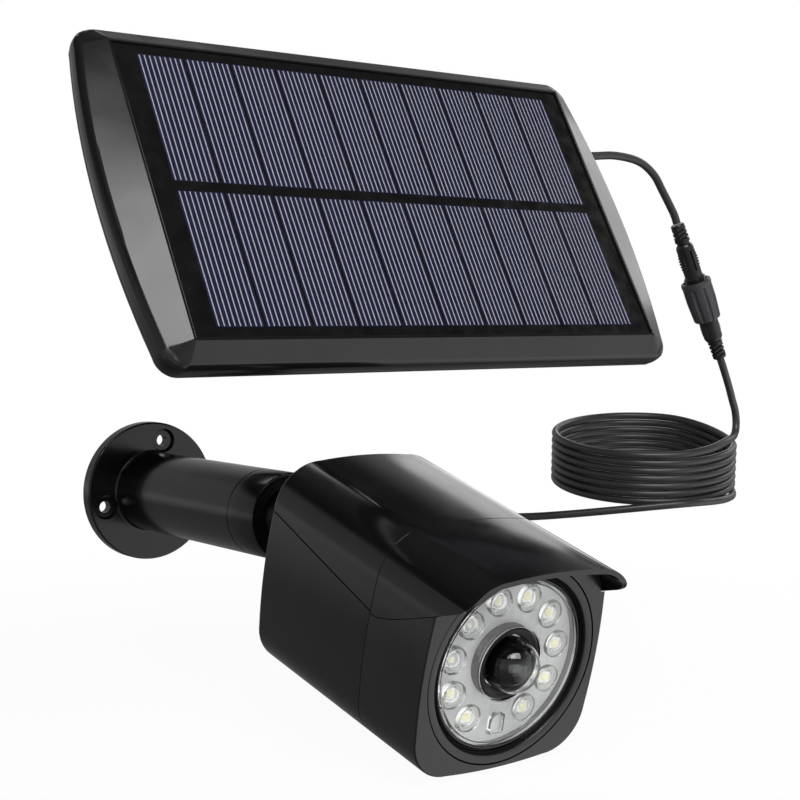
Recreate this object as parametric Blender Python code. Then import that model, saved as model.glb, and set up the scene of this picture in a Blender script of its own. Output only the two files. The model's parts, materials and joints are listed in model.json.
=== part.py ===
"""Solar-powered security camera: bullet camera on a ball-jointed wall bracket,
a tilting solar panel on its own wall arm, and the lead that joins the two.

Metres, +Z up. The origin is the centre of the camera bracket's back face, the
wall is the plane y = 0, and everything stands in front of it, towards -Y.
"""
import math

import bmesh
import bpy
from mathutils import Euler, Matrix, Vector

# ---------------------------------------------------------------- dimensions
GAP = 0.0003                 # clearance between pieces that touch or turn
SEGMENTS = 32                # facets round a large turned piece
SMALL_SEGMENTS = 16          # facets round a small turned piece

# wall bracket and ball joint, along the bracket axis (world Y)
FLANGE_RADIUS = 0.035
FLANGE_THICKNESS = 0.007
TUBE_RADIUS = 0.0199
TUBE_END = -0.1143
COLLAR_END = -0.1356
SPIGOT_RADIUS = 0.0180
SPIGOT_END = -0.1215
SEAT_BORE = 0.0160
SEAT_LEDGE = -0.1057
CABLE_BORE = 0.0140
BORE_FLOOR = -0.012
WALL_SCREW_CIRCLE = 0.0263   # radius of the bolt circle
WALL_SCREW_HOLE = 0.0029
WALL_SCREW_HEAD = 0.0050
WALL_SCREW_MOUTH = 0.0061
WALL_SCREW_SEAT = -0.0051    # where the screw heads rest
GROMMET_Y = -0.060
GROMMET_BORE = 0.0024
GROMMET_HOLE = 0.0045
WALL_SCREW_ANGLES = (74.6, -45.4, 194.6)
BALL_CENTRE = Vector((0.0, -0.130, 0.0))
BALL_RADIUS = 0.0140
NECK_RADIUS = 0.0065

# camera housing, in its own frame: origin just behind the ball centre, forward is -Y
HOUSING_PITCH = math.radians(13.7)
SET_BACK = 0.0018                # how far the housing's origin lies behind the ball centre
HALF_WIDTH = 0.0415
TOP = 0.0403                     # at the front face
TOP_SLOPE = 0.042                # rise of the top per metre towards the back
BOTTOM = -0.0418
CROWN = 0.0012                   # how far each side bulges between its corners
TOP_CORNER = 0.0195
BOTTOM_CORNER = 0.0176
REAR = -0.0536
PARTING = -0.1260
FACE = -0.1610
WALL = 0.0024
COVER_SEAM = ((-0.050, 0.0256), (-0.130, 0.0104))
VISOR_TIP = -0.1750
VISOR_EDGE = ((-0.120, 0.0108), (-0.129, 0.0104), (-0.134, 0.0116), (-0.1432, 0.0151), (-0.1695, 0.0274))
VISOR_BROW = ((-0.1727, 0.0299), (-0.1746, 0.0330))
VISOR_SHEET = 0.0020
BOSS_START = -0.026
BOSS_RADII = (0.0110, 0.0190)    # at its tip and where it meets the rear wall
STUD_SHANK = 0.0049
STUD_END = -0.0660
SCREW_HOLE = 0.0018
SCREW_HEAD = 0.0030
SCREW_SHANK = 0.0015
HOUSING_SCREW_X = 0.0325
HOUSING_SCREW_Z = (-0.0300, 0.0120)
BUTTON_RADIUS = 0.0050
BUTTON_Y = -0.0850
BUTTON_PROUD = 0.0015
BATTERY_RADIUS = 0.0092
BATTERY_X = 0.0115
BATTERY_Z = -0.0262
BATTERY_REACH = (-0.0660, -0.1205)

# front of the camera: everything is centred on the optical axis
OPTIC_HEIGHT = -0.0015
BEZEL_RADIUS = 0.0393
GROOVE_RADIUS = 0.0352
WINDOW_RADIUS = 0.0334
WINDOW_FRONT = -0.1597
WINDOW_THICKNESS = 0.0020
LED_COUNT = 10
LED_SLOTS = 11
LED_CIRCLE = 0.0245
LED_LENS_RADIUS = 0.0053
LED_PLANE = -0.1540
BARREL_RADIUS = 0.0142
DOME_RADIUS = 0.0105
DOME_CENTRE = -0.1602
DOME_SHEET = 0.0010
EYE_RADIUS = 0.0086
EYE_CENTRE = -0.1582

# solar panel, in its own frame: origin at the centre of the front, back is +Y
PANEL_CENTRE = Vector((0.0302, -0.1774, 0.1398))
PANEL_LEAN = math.radians(-29.56)
WINDOW_HALF = (0.1205, 0.0680)
CHAMFER = (0.0098, 0.0080)
CHAMFER_DEPTH = 0.005
SIDE_BULGE = 0.0060
PANEL_DEPTH = 0.013
PANEL_BACK = 0.0158
HINGE_DEPTH = 0.0478
EAR_INNER = 0.0064
EAR_OUTER = 0.0112
HINGE_EAR_RADIUS = 0.0095
ARM_WIDTH = 0.0120
ARM_PLATE_RADIUS = 0.028
ARM_SCREW_HOLE = 0.0023
ARM_SCREW_CIRCLE = 0.021
ARM_SCREW_ANGLES = (90.0, 210.0, 330.0)
HINGE_HOLE = 0.0028
PANEL_SCREW_Z = 0.055
BOX_X = (0.060, 0.088)       # junction box, in the panel's frame
BOX_Z = (0.030, 0.058)
BOX_DEPTH = 0.0170
BOX_EDGE = 0.0020
GLAND_AXIS = (0.0250, 0.0440)    # (y, z) of the line that the lead leaves along

# lead
LEAD_RADIUS = 0.0021
COIL_TURNS = 7
COIL_PITCH = 0.0043
COIL_RADIUS = 0.0505
COIL_CENTRE = Vector((0.2740, -0.0871, 0.0065))
COIL_LEAN = math.radians(9.8)
COIL_HEADING = math.radians(-37.3)
PLUG_TOP = Vector((0.2452, -0.1378, 0.1379))
SOCKET_END = Vector((0.2765, -0.1416, 0.0659))
PANEL_LEAD = (
    (0.1317, -0.1340, 0.1659), (0.1440, -0.1340, 0.1666), (0.1600, -0.1338, 0.1684),
    (0.1873, -0.1334, 0.1707), (0.2035, -0.1334, 0.1718), (0.2196, -0.1345, 0.1695),
    (0.2285, -0.1356, 0.1631), (0.2368, -0.1368, 0.1503),
)
FEED_LEAD = (
    (0.2834, -0.1414, 0.0537), (0.2892, -0.1402, 0.0452), (0.2965, -0.1372, 0.0345), (0.2985, -0.1343, 0.0296),
)
TAIL_LEAD = (
    (0.2320, -0.1310, -0.0136), (0.2160, -0.1150, -0.0160), (0.2042, -0.1020, -0.0182),
    (0.1800, -0.0830, -0.0200), (0.1500, -0.0665, -0.0190), (0.1200, -0.0590, -0.0160),
    (0.0850, -0.0580, -0.0105), (0.0550, -0.0595, -0.0040), (0.0380, -0.0600, -0.0005), (0.0266, -0.0600, 0.0),
)


# colours: shells, wall bracket, face, dark fittings, rubber, steel
SHELL_BLACK = (0.025, 0.025, 0.027)
FACE_GREY = (0.060, 0.060, 0.062)
FITTING_BLACK = (0.030, 0.030, 0.032)
RUBBER_BLACK = (0.020, 0.020, 0.020)
STEEL = (0.60, 0.60, 0.60)
BOARD_GREEN = (0.02, 0.12, 0.05)


# ------------------------------------------------------------------- helpers
def clear_scene():
    """Remove whatever the opened file holds."""
    for item in list(bpy.data.objects):
        bpy.data.objects.remove(item, do_unlink=True)


def frame(name, location, rotation=Euler((0.0, 0.0, 0.0))):
    """An empty that carries the pieces of one assembly."""
    empty = bpy.data.objects.new(name, None)
    empty.location = location
    empty.rotation_mode = "QUATERNION"
    empty.rotation_quaternion = rotation.to_quaternion() if isinstance(rotation, Euler) else rotation
    bpy.context.collection.objects.link(empty)
    return empty


def finish(piece, parent, colour, roughness, metallic=0.0, alpha=1.0):
    """Give a piece its place in the assembly, its shading and its material."""
    piece.parent = parent
    piece.data.shade_smooth()
    piece.data.set_sharp_from_angle(angle=math.radians(35))
    material = bpy.data.materials.new(piece.name)
    material.use_nodes = True
    shader = material.node_tree.nodes["Principled BSDF"]
    shader.inputs["Base Color"].default_value = (*colour, 1.0)
    shader.inputs["Roughness"].default_value = roughness
    shader.inputs["Metallic"].default_value = metallic
    shader.inputs["Alpha"].default_value = alpha
    piece.data.materials.clear()
    piece.data.materials.append(material)
    return piece


def new_piece(name, mesh_builder):
    """Wrap a bmesh as an object, with every face pointing out."""
    bmesh.ops.recalc_face_normals(mesh_builder, faces=mesh_builder.faces)
    mesh = bpy.data.meshes.new(name)
    mesh_builder.to_mesh(mesh)
    mesh_builder.free()
    piece = bpy.data.objects.new(name, mesh)
    bpy.context.collection.objects.link(piece)
    return piece


def loft(name, loops, closed=False):
    """A solid through equal loops of points: capped at its ends, or closed on itself."""
    builder = bmesh.new()
    rows = [[builder.verts.new(point) for point in loop] for loop in loops]
    count = len(rows[0])
    pairs = list(zip(rows, rows[1:]))
    if closed:
        pairs.append((rows[-1], rows[0]))
    else:
        builder.faces.new(rows[0])
        builder.faces.new(rows[-1])
    for here, there in pairs:
        for step in range(count):
            after = (step + 1) % count
            builder.faces.new((here[step], here[after], there[after], there[step]))
    return new_piece(name, builder)


def turned(name, profile, segments=SEGMENTS, centre=(0.0, 0.0)):
    """A profile of (radius, along) points turned about the Y axis through centre (x, z)."""
    builder = bmesh.new()
    rows = []
    for radius, along in profile:
        if radius == 0.0:
            rows.append([builder.verts.new((centre[0], along, centre[1]))])
            continue
        angles = (math.tau * step / segments for step in range(segments))
        rows.append([builder.verts.new((centre[0] + radius * math.cos(angle), along,
                                        centre[1] + radius * math.sin(angle))) for angle in angles])
    for here, there in zip(rows, rows[1:] + rows[:1]):
        if len(here) == 1 and len(there) == 1:
            continue
        for step in range(segments):
            after = (step + 1) % segments
            corners = [here[step % len(here)], here[after % len(here)],
                       there[after % len(there)], there[step % len(there)]]
            unique = list(dict.fromkeys(corners))
            builder.faces.new(unique)
    return new_piece(name, builder)


def cylinder(name, radius, start, end, segments=SMALL_SEGMENTS, centre=(0.0, 0.0)):
    """A plain round bar along Y between two stations."""
    return turned(name, [(0.0, start), (radius, start), (radius, end), (0.0, end)], segments, centre)


def lay_across(piece, y=0.0, z=0.0):
    """Turn a piece made along Y so that it runs along X, at a given (y, z)."""
    piece.data.transform(Matrix.Translation((0, y, z)) @ Matrix.Rotation(-math.pi / 2, 4, "Z"))
    return piece


def box(name, low, high):
    """A block between two corners."""
    builder = bmesh.new()
    bmesh.ops.create_cube(builder, size=1.0)
    size = Vector(high) - Vector(low)
    centre = (Vector(high) + Vector(low)) / 2
    bmesh.ops.transform(builder, matrix=Matrix.Translation(centre) @ Matrix.Diagonal((*size, 1.0)),
                        verts=builder.verts)
    return new_piece(name, builder)


def side_cut(name, points, half_width=0.06):
    """A prism whose outline is drawn in the YZ plane and which runs along X."""
    return loft(name, [[(x, y, z) for y, z in points] for x in (-half_width, half_width)])


def shape(piece, tools, operation):
    """Cut tools from a piece, or join them to it, and discard the tools."""
    for tool in tools:
        modifier = piece.modifiers.new(operation.title(), "BOOLEAN")
        modifier.operation = operation
        modifier.solver = "EXACT"
        modifier.object = tool
    bpy.context.view_layer.update()
    evaluated = piece.evaluated_get(bpy.context.evaluated_depsgraph_get())
    result = bpy.data.meshes.new_from_object(evaluated)
    piece.modifiers.clear()
    piece.data = result
    for tool in tools:
        bpy.data.objects.remove(tool, do_unlink=True)
    builder = bmesh.new()
    builder.from_mesh(result)
    bmesh.ops.remove_doubles(builder, verts=builder.verts, dist=1e-6)
    bmesh.ops.dissolve_limit(builder, angle_limit=math.radians(0.2), verts=builder.verts,
                             edges=builder.edges)
    builder.to_mesh(result)
    builder.free()
    return piece


def cut(piece, *tools):
    """Remove the tools' volume from a piece."""
    return shape(piece, tools, "DIFFERENCE")


def join(piece, *tools):
    """Fuse the tools into a piece."""
    return shape(piece, tools, "UNION")


def arc(radius, start, end, steps, centre=0.0):
    """(radius, along) points of a turned sphere, between two polar angles in degrees from +Y."""
    points = []
    for step in range(steps + 1):
        angle = math.radians(start + (end - start) * step / steps)
        points.append((max(radius * math.sin(angle), 0.0), centre + radius * math.cos(angle)))
    return points


def section(inset, y, steps=4, rises=3):
    """The housing's rounded and slightly crowned cross-section, inset by a wall, at one station."""
    top = TOP + TOP_SLOPE * (y - FACE)
    corners = (
        (HALF_WIDTH - TOP_CORNER, top - TOP_CORNER, TOP_CORNER, 0),
        (TOP_CORNER - HALF_WIDTH, top - TOP_CORNER, TOP_CORNER, 90),
        (BOTTOM_CORNER - HALF_WIDTH, BOTTOM + BOTTOM_CORNER, BOTTOM_CORNER, 180),
        (HALF_WIDTH - BOTTOM_CORNER, BOTTOM + BOTTOM_CORNER, BOTTOM_CORNER, 270),
    )
    rounds = []
    for x, z, radius, start in corners:
        angles = (math.radians(start + 90 * step / steps) for step in range(steps + 1))
        reach = radius - inset
        rounds.append([Vector((x + reach * math.cos(angle), y, z + reach * math.sin(angle)))
                       for angle in angles])
    points = []
    for here, there, out in zip(rounds, rounds[1:] + rounds[:1], ((0, 1), (-1, 0), (0, -1), (1, 0))):
        points += here
        for step in range(1, rises + 1):
            share = step / (rises + 1)
            swell = 4 * CROWN * share * (1 - share)
            points.append(here[-1].lerp(there[0], share) + Vector((out[0] * swell, 0, out[1] * swell)))
    return [tuple(point) for point in points]


def smooth_route(points, spacing):
    """Points at an even spacing along a smooth curve through the given ones."""
    knots = [Vector(point) for point in points]
    knots = [2 * knots[0] - knots[1]] + knots + [2 * knots[-1] - knots[-2]]
    dense = []
    for before, here, there, after in zip(knots, knots[1:], knots[2:], knots[3:]):
        for step in range(24):
            t = step / 24
            dense.append(0.5 * (2 * here + (there - before) * t
                                + (2 * before - 5 * here + 4 * there - after) * t * t
                                + (3 * here - before - 3 * there + after) * t * t * t))
    dense.append(knots[-2])
    lengths = [0.0]
    for here, there in zip(dense, dense[1:]):
        lengths.append(lengths[-1] + (there - here).length)
    count = max(2, round(lengths[-1] / spacing))
    even = []
    index = 0
    for step in range(count + 1):
        target = lengths[-1] * step / count
        while index < len(lengths) - 2 and lengths[index + 1] < target:
            index += 1
        share = (target - lengths[index]) / (lengths[index + 1] - lengths[index])
        even.append(dense[index].lerp(dense[index + 1], min(max(share, 0.0), 1.0)))
    return even


def lead_tube(name, points, parent):
    """A plain round tube along a route."""
    curve = bpy.data.curves.new(name, "CURVE")
    curve.dimensions = "3D"
    curve.bevel_depth = LEAD_RADIUS
    curve.bevel_resolution = 2
    curve.use_fill_caps = True
    spline = curve.splines.new("POLY")
    route = smooth_route(points, spacing=0.0105)
    spline.points.add(len(route) - 1)
    for point, place in zip(spline.points, route):
        point.co = (*place, 1.0)
    tube = bpy.data.objects.new(name, curve)
    bpy.context.collection.objects.link(tube)
    tube.parent = parent
    material = bpy.data.materials.new(name)
    material.use_nodes = True
    shader = material.node_tree.nodes["Principled BSDF"]
    shader.inputs["Base Color"].default_value = (0.02, 0.02, 0.02, 1.0)
    shader.inputs["Roughness"].default_value = 0.5
    curve.materials.append(material)
    return tube


# -------------------------------------------------------- bracket and ball
def make_bracket(wall):
    """Wall bracket: a round flange and a tube in one moulding, hollow from the front."""
    profile = [
        (0.0, 0.0), (FLANGE_RADIUS - 0.001, 0.0), (FLANGE_RADIUS, -0.001),
        (FLANGE_RADIUS, -FLANGE_THICKNESS + 0.0012), (FLANGE_RADIUS - 0.0012, -FLANGE_THICKNESS),
        (TUBE_RADIUS, -FLANGE_THICKNESS), (TUBE_RADIUS, TUBE_END), (SPIGOT_RADIUS, TUBE_END),
        (SPIGOT_RADIUS, SPIGOT_END), (SEAT_BORE, SPIGOT_END), (SEAT_BORE, SEAT_LEDGE),
        (CABLE_BORE, SEAT_LEDGE), (CABLE_BORE, BORE_FLOOR), (0.0, BORE_FLOOR),
    ]
    bracket = turned("wall_bracket", profile)
    tools = []
    for degrees in WALL_SCREW_ANGLES:
        angle = math.radians(degrees)
        centre = (WALL_SCREW_CIRCLE * math.cos(angle), WALL_SCREW_CIRCLE * math.sin(angle))
        hole = [(0.0, 0.002), (WALL_SCREW_HOLE, 0.002), (WALL_SCREW_HOLE, WALL_SCREW_SEAT),
                (WALL_SCREW_HEAD, WALL_SCREW_SEAT), (WALL_SCREW_MOUTH, -FLANGE_THICKNESS),
                (WALL_SCREW_MOUTH, -0.012), (0.0, -0.012)]
        tools.append(turned("screw_hole", hole, 12, centre))
    tools.append(lay_across(cylinder("grommet_hole", GROMMET_HOLE, 0.010, 0.030, 12), GROMMET_Y))
    finish(cut(bracket, *tools), wall, SHELL_BLACK, 0.28)

    waist = GROMMET_HOLE - GAP
    flange = TUBE_RADIUS + GAP
    grommet = turned("tube_grommet", [
        (GROMMET_BORE, 0.0125), (waist, 0.0125), (waist, flange), (0.0062, flange), (0.0058, 0.0232),
        (0.0036, 0.0262), (GROMMET_BORE, 0.0262),
    ], 12)
    finish(lay_across(grommet, GROMMET_Y), wall, RUBBER_BLACK, 0.6)


def make_ball_joint(wall, housing):
    """Lock ring on the tube's spigot, ball seat inside it, and the ball stud."""
    centre = BALL_CENTRE.y
    inner = BALL_RADIUS + GAP
    lip = arc(inner, 92, 110, 3, centre)
    ring = turned("lock_ring", [
        (TUBE_RADIUS, TUBE_END - GAP), (TUBE_RADIUS, COLLAR_END + 0.0008),
        (TUBE_RADIUS - 0.0008, COLLAR_END), (TUBE_RADIUS - 0.0016, COLLAR_END), *reversed(lip),
        (SEAT_BORE + GAP, lip[0][1] + 0.0006), (SEAT_BORE + GAP, SPIGOT_END - GAP),
        (SPIGOT_RADIUS + GAP, SPIGOT_END - GAP), (SPIGOT_RADIUS + GAP, TUBE_END - GAP),
    ])
    finish(ring, wall, SHELL_BLACK, 0.26)

    seat = turned("ball_seat", [
        (0.0045, SEAT_LEDGE - GAP), (SEAT_BORE - GAP, SEAT_LEDGE - GAP), (SEAT_BORE - GAP, centre + 0.0004),
        *arc(inner, 88, 20, 6, centre), (0.0045, centre + inner * math.cos(math.radians(20))),
    ], 24)
    finish(seat, wall, (0.05, 0.05, 0.05), 0.45)

    neck_angle = math.degrees(math.asin(NECK_RADIUS / BALL_RADIUS))
    stud = turned("ball_stud", [
        *arc(BALL_RADIUS, 0, 180 - neck_angle, 8, -SET_BACK), (NECK_RADIUS, BOSS_START + GAP),
        (STUD_SHANK, BOSS_START + GAP), (STUD_SHANK, STUD_END), (0.0, STUD_END),
    ], 24)
    finish(stud, housing, STEEL, 0.3, 1.0)

    nut = cylinder("stud_nut", 0.0085, REAR - 0.0033, REAR - 0.0083, 6)
    hole = cylinder("nut_hole", STUD_SHANK + GAP, -0.05, -0.07, 24)
    finish(cut(nut, hole), housing, STEEL, 0.3, 1.0)


# ----------------------------------------------------------- camera housing
def seam_cut(name, offset, reach):
    """Everything between the cover's seam, moved by an offset, and a height well past the housing."""
    points = [(y, z + offset) for y, z in COVER_SEAM]
    points += [(COVER_SEAM[1][0], reach), (COVER_SEAM[0][0], reach)]
    return side_cut(name, points)


def rear_loft(name):
    """The rear half of the housing before it is divided: open to the front, walled behind."""
    end = PARTING + GAP / 2
    return loft(name, [section(WALL, REAR - 0.0028), section(WALL, end), section(0.0, end),
                       section(0.0, REAR - 0.0012), section(0.0012, REAR)])


def make_rear_body(housing):
    """Rear shell with the ball stud's boss, and the cover that closes it from above."""
    cover = cut(rear_loft("top_cover"), seam_cut("below", GAP / 2, -0.06))
    finish(cover, housing, SHELL_BLACK, 0.22)

    root = REAR - 0.0015
    boss = turned("boss", [(0.0, BOSS_START), (BOSS_RADII[0], BOSS_START), (BOSS_RADII[1], REAR - 0.0001),
                           (BOSS_RADII[1], root), (0.0, root)], 24)
    shell = join(rear_loft("rear_shell"), boss)
    button_hole = cylinder("button_hole", BUTTON_RADIUS + GAP, -0.05, -0.038)
    button_hole.data.transform(button_matrix())
    holes = [cylinder("hole", SCREW_HOLE, -0.05, -0.06, 8, place) for place in screw_places()]
    cut(shell, seam_cut("above", -GAP / 2, 0.06), cylinder("bore", STUD_SHANK + GAP, -0.02, -0.06, 24),
        *holes, button_hole)
    finish(shell, housing, SHELL_BLACK, 0.24)


def screw_places():
    """(x, z) of the four screws that pull the rear shell against the front one."""
    return [(side * HOUSING_SCREW_X, z) for z in HOUSING_SCREW_Z for side in (-1, 1)]


def button_matrix():
    """Stands a piece turned about Y upright, at the button's place."""
    return Matrix.Translation((0, BUTTON_Y, 0)) @ Matrix.Rotation(math.pi / 2, 4, "X")


def make_front_body(housing):
    """Front shell with the round opening, and the visor that wraps over it."""
    start = PARTING - GAP / 2
    front = loft("front_shell", [section(0.0044, -0.1500), section(0.0044, start), section(0.0, start),
                                 section(0.0, FACE + 0.0006), section(0.0006, FACE)])
    opening = cylinder("opening", BEZEL_RADIUS + GAP, -0.1497, -0.17, 40, (0.0, OPTIC_HEIGHT))
    above_edge = [(-0.120, VISOR_EDGE[0][1])] + list(VISOR_EDGE[1:]) + [(-0.173, 0.06), (-0.120, 0.06)]
    rebate = side_cut("rebate", above_edge)
    core = loft("core", [section(VISOR_SHEET + GAP, y) for y in (-0.11, -0.18)])
    cut(rebate, core)
    finish(cut(front, opening, rebate), housing, FACE_GREY, 0.35)

    visor = loft("visor", [section(0.0, y) for y in (start, VISOR_TIP - 0.005)])
    hollow = loft("hollow", [section(VISOR_SHEET, y) for y in (-0.11, -0.21)])
    lower = [(y, z + GAP) for y, z in VISOR_EDGE]
    under = side_cut("under", lower + [(-0.173, -0.06), (-0.120, -0.06)])
    brow = [lower[-1], *VISOR_BROW, (VISOR_TIP, 0.0360), (VISOR_TIP, 0.06)]
    nose = side_cut("nose", brow + [(-0.22, 0.06), (-0.22, -0.06), (lower[-1][0], -0.06)])
    finish(cut(visor, hollow, under, nose), housing, SHELL_BLACK, 0.2)


def make_front_optics(housing):
    """Bezel, seal, window, LED plate with its lenses, and the camera behind its dome."""
    centre = (0.0, OPTIC_HEIGHT)
    bezel = turned("bezel_ring", [
        (BEZEL_RADIUS, FACE + 0.0002), (BEZEL_RADIUS, -0.1512), (WINDOW_RADIUS - 0.001, -0.1512),
        (WINDOW_RADIUS - 0.001, -0.1545), (GROOVE_RADIUS, -0.1545), (GROOVE_RADIUS, FACE + 0.0002),
    ], 40, centre)
    finish(bezel, housing, FACE_GREY, 0.35)

    seal = turned("window_seal", [
        (GROOVE_RADIUS - GAP, FACE + 0.0008), (GROOVE_RADIUS - GAP, -0.1548), (WINDOW_RADIUS + 0.0002, -0.1548),
        (WINDOW_RADIUS + 0.0002, FACE + 0.0008),
    ], 40, centre)
    finish(seal, housing, (0.01, 0.01, 0.01), 0.6)

    window = turned("window", [
        (WINDOW_RADIUS - 0.0001, WINDOW_FRONT), (WINDOW_RADIUS - 0.0001, WINDOW_FRONT + WINDOW_THICKNESS),
        (BARREL_RADIUS + GAP, WINDOW_FRONT + WINDOW_THICKNESS), (BARREL_RADIUS + GAP, WINDOW_FRONT),
    ], 40, centre)
    finish(window, housing, (0.8, 0.82, 0.84), 0.05, 0.0, 0.3)

    plate = turned("led_board", [
        (WINDOW_RADIUS - 0.0014, LED_PLANE), (WINDOW_RADIUS - 0.0014, LED_PLANE + 0.0016),
        (BARREL_RADIUS + GAP, LED_PLANE + 0.0016), (BARREL_RADIUS + GAP, LED_PLANE),
    ], SEGMENTS, centre)
    half = 0.0014
    chips = [box("chip", (x - half, LED_PLANE - 0.0006, z - half), (x + half, LED_PLANE + 0.0004, z + half))
             for x, z in led_places()]
    finish(join(plate, *chips), housing, (0.75, 0.75, 0.74), 0.4)

    for number, place in enumerate(led_places(), start=1):
        lens = turned(f"led_lens_{number:02d}", [
            (0.0, LED_PLANE - 0.0009), (LED_LENS_RADIUS, LED_PLANE - 0.0009),
            (LED_LENS_RADIUS, LED_PLANE - 0.0022), (0.0034, LED_PLANE - 0.0031), (0.0, LED_PLANE - 0.0034),
        ], 12, place)
        finish(lens, housing, (0.9, 0.9, 0.88), 0.05, 0.0, 0.4)

    cell_z = OPTIC_HEIGHT - LED_CIRCLE
    photocell = box("photocell_cover", (-0.0028, LED_PLANE - 0.0032, cell_z - 0.0042),
                    (0.0028, LED_PLANE - GAP, cell_z + 0.0038))
    finish(photocell, housing, (0.85, 0.85, 0.83), 0.1, 0.0, 0.5)

    barrel = turned("lens_barrel", [
        (BARREL_RADIUS, -0.1590), (BARREL_RADIUS, -0.1480), (0.0090, -0.1480), (0.0090, -0.1500),
        (DOME_RADIUS + GAP, -0.1500), (DOME_RADIUS + GAP, -0.1583), (0.0116, -0.1590),
    ], 28, centre)
    finish(barrel, housing, (0.02, 0.02, 0.02), 0.25)

    inner = DOME_RADIUS - DOME_SHEET
    dome = turned("lens_dome", [
        (DOME_RADIUS, -0.1560), *arc(DOME_RADIUS, 90, 180, 6, DOME_CENTRE),
        *reversed(arc(inner, 90, 180, 6, DOME_CENTRE)), (inner, -0.1560),
    ], 24, centre)
    finish(dome, housing, (0.8, 0.8, 0.8), 0.02, 0.0, 0.25)

    eye = turned("camera_lens", [
        (0.0, -0.1450), (0.0070, -0.1450), (0.0070, -0.1535), *arc(EYE_RADIUS, 70, 180, 6, EYE_CENTRE),
    ], 20, centre)
    finish(eye, housing, (0.01, 0.01, 0.01), 0.05)

    half = 0.0140
    seat = 0.0085
    board = box("sensor_board", (-half, -0.1404, OPTIC_HEIGHT - half), (half, -0.1388, OPTIC_HEIGHT + half))
    holder = box("holder", (-seat, -0.1446, OPTIC_HEIGHT - seat), (seat, -0.1400, OPTIC_HEIGHT + seat))
    finish(join(board, holder), housing, BOARD_GREEN, 0.5)


def led_places():
    """(x, z) of each LED: eleven even slots, the lowest one left to the photocell."""
    places = []
    for slot in range(LED_COUNT):
        angle = math.tau * (slot + 1) / LED_SLOTS - math.pi / 2
        places.append((LED_CIRCLE * math.cos(angle), OPTIC_HEIGHT + LED_CIRCLE * math.sin(angle)))
    return places


def make_housing_inside(housing):
    """Seal, batteries and their tray, main board, screws and the power button."""
    end = PARTING + GAP / 2 + GAP
    seal = loft("parting_seal", [section(WALL + GAP, -0.1222, 3), section(WALL + GAP, end, 3),
                                 section(0.0042, end, 3), section(0.0042, -0.1222, 3)], closed=True)
    finish(seal, housing, RUBBER_BLACK, 0.7)

    rear_end, front_end = BATTERY_REACH
    for side, name in ((-1, "battery_left"), (1, "battery_right")):
        cell = turned(name, [(0.0, rear_end), (0.0040, rear_end), (BATTERY_RADIUS, rear_end - 0.0012),
                             (BATTERY_RADIUS, front_end), (0.0, front_end)],
                      SMALL_SEGMENTS, (side * BATTERY_X, BATTERY_Z))
        finish(cell, housing, (0.05, 0.2, 0.4), 0.35)
    tray = box("battery_tray", (-0.0230, front_end - 0.0011, BATTERY_Z - 0.0112),
               (0.0230, rear_end + 0.0020, BATTERY_Z - 0.0020))
    pocket = box("pocket", (-0.0215, front_end - 0.0005, BATTERY_Z - 0.0096), (0.0215, rear_end + 0.0010, 0.0))
    finish(cut(tray, pocket), housing, FITTING_BLACK, 0.5)

    board = join(box("main_board", (-0.0340, -0.1180, 0.0060), (0.0340, -0.0700, 0.0076)),
                 box("processor", (-0.0080, -0.1050, 0.0070), (0.0080, -0.0890, 0.0096)),
                 box("terminal", (-0.0300, -0.0800, 0.0070), (-0.0160, -0.0720, 0.0140)))
    finish(board, housing, BOARD_GREEN, 0.5)

    for number, place in enumerate(screw_places(), start=1):
        make_screw(f"housing_screw_{number}", REAR, REAR - 0.0090, place, housing)

    low = BOTTOM - CROWN - BUTTON_PROUD
    button = turned("power_button", [
        (0.0, low), (BUTTON_RADIUS - 0.0008, low), (BUTTON_RADIUS, low + 0.0007),
        (BUTTON_RADIUS, BOTTOM + 0.0018), (0.0, BOTTOM + 0.0018),
    ], SMALL_SEGMENTS)
    button.data.transform(button_matrix())
    finish(button, housing, RUBBER_BLACK, 0.6)


def make_screw(name, face, tip, place, parent):
    """A pan head screw along Y: its head stands on a face and its point is at the tip."""
    screw = turned(name, [
        (0.0, face + 0.0020), (0.0022, face + 0.0020), (SCREW_HEAD, face + 0.0010), (SCREW_HEAD, face + GAP),
        (SCREW_SHANK, face + GAP), (SCREW_SHANK, tip + 0.0008), (0.0, tip),
    ], 8, place)
    finish(screw, parent, STEEL, 0.35, 1.0)


# -------------------------------------------------------------- solar panel
def panel_outline(grow_x, grow_z, bulge, y, corner=0.0, steps=3):
    """The panel's outline grown outwards, with rounded corners and bowed short sides."""
    half_x = WINDOW_HALF[0] + CHAMFER[0] + grow_x
    half_z = WINDOW_HALF[1] + CHAMFER[1] + grow_z
    points = []
    for sign_x, sign_z, start in ((1, 1, 0), (-1, 1, 90), (-1, -1, 180), (1, -1, 270)):
        for step in range(steps + 1):
            angle = math.radians(start + 90 * step / steps)
            points.append((sign_x * (half_x - corner) + corner * math.cos(angle), y,
                           sign_z * (half_z - corner) + corner * math.sin(angle)))
        if sign_z != (1 if sign_x < 0 else -1):
            continue
        for share in (0.5, 0.0, -0.5):
            points.append((sign_x * (half_x + bulge * (1 - share * share)), y, -sign_x * share * half_z))
    return points


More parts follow.
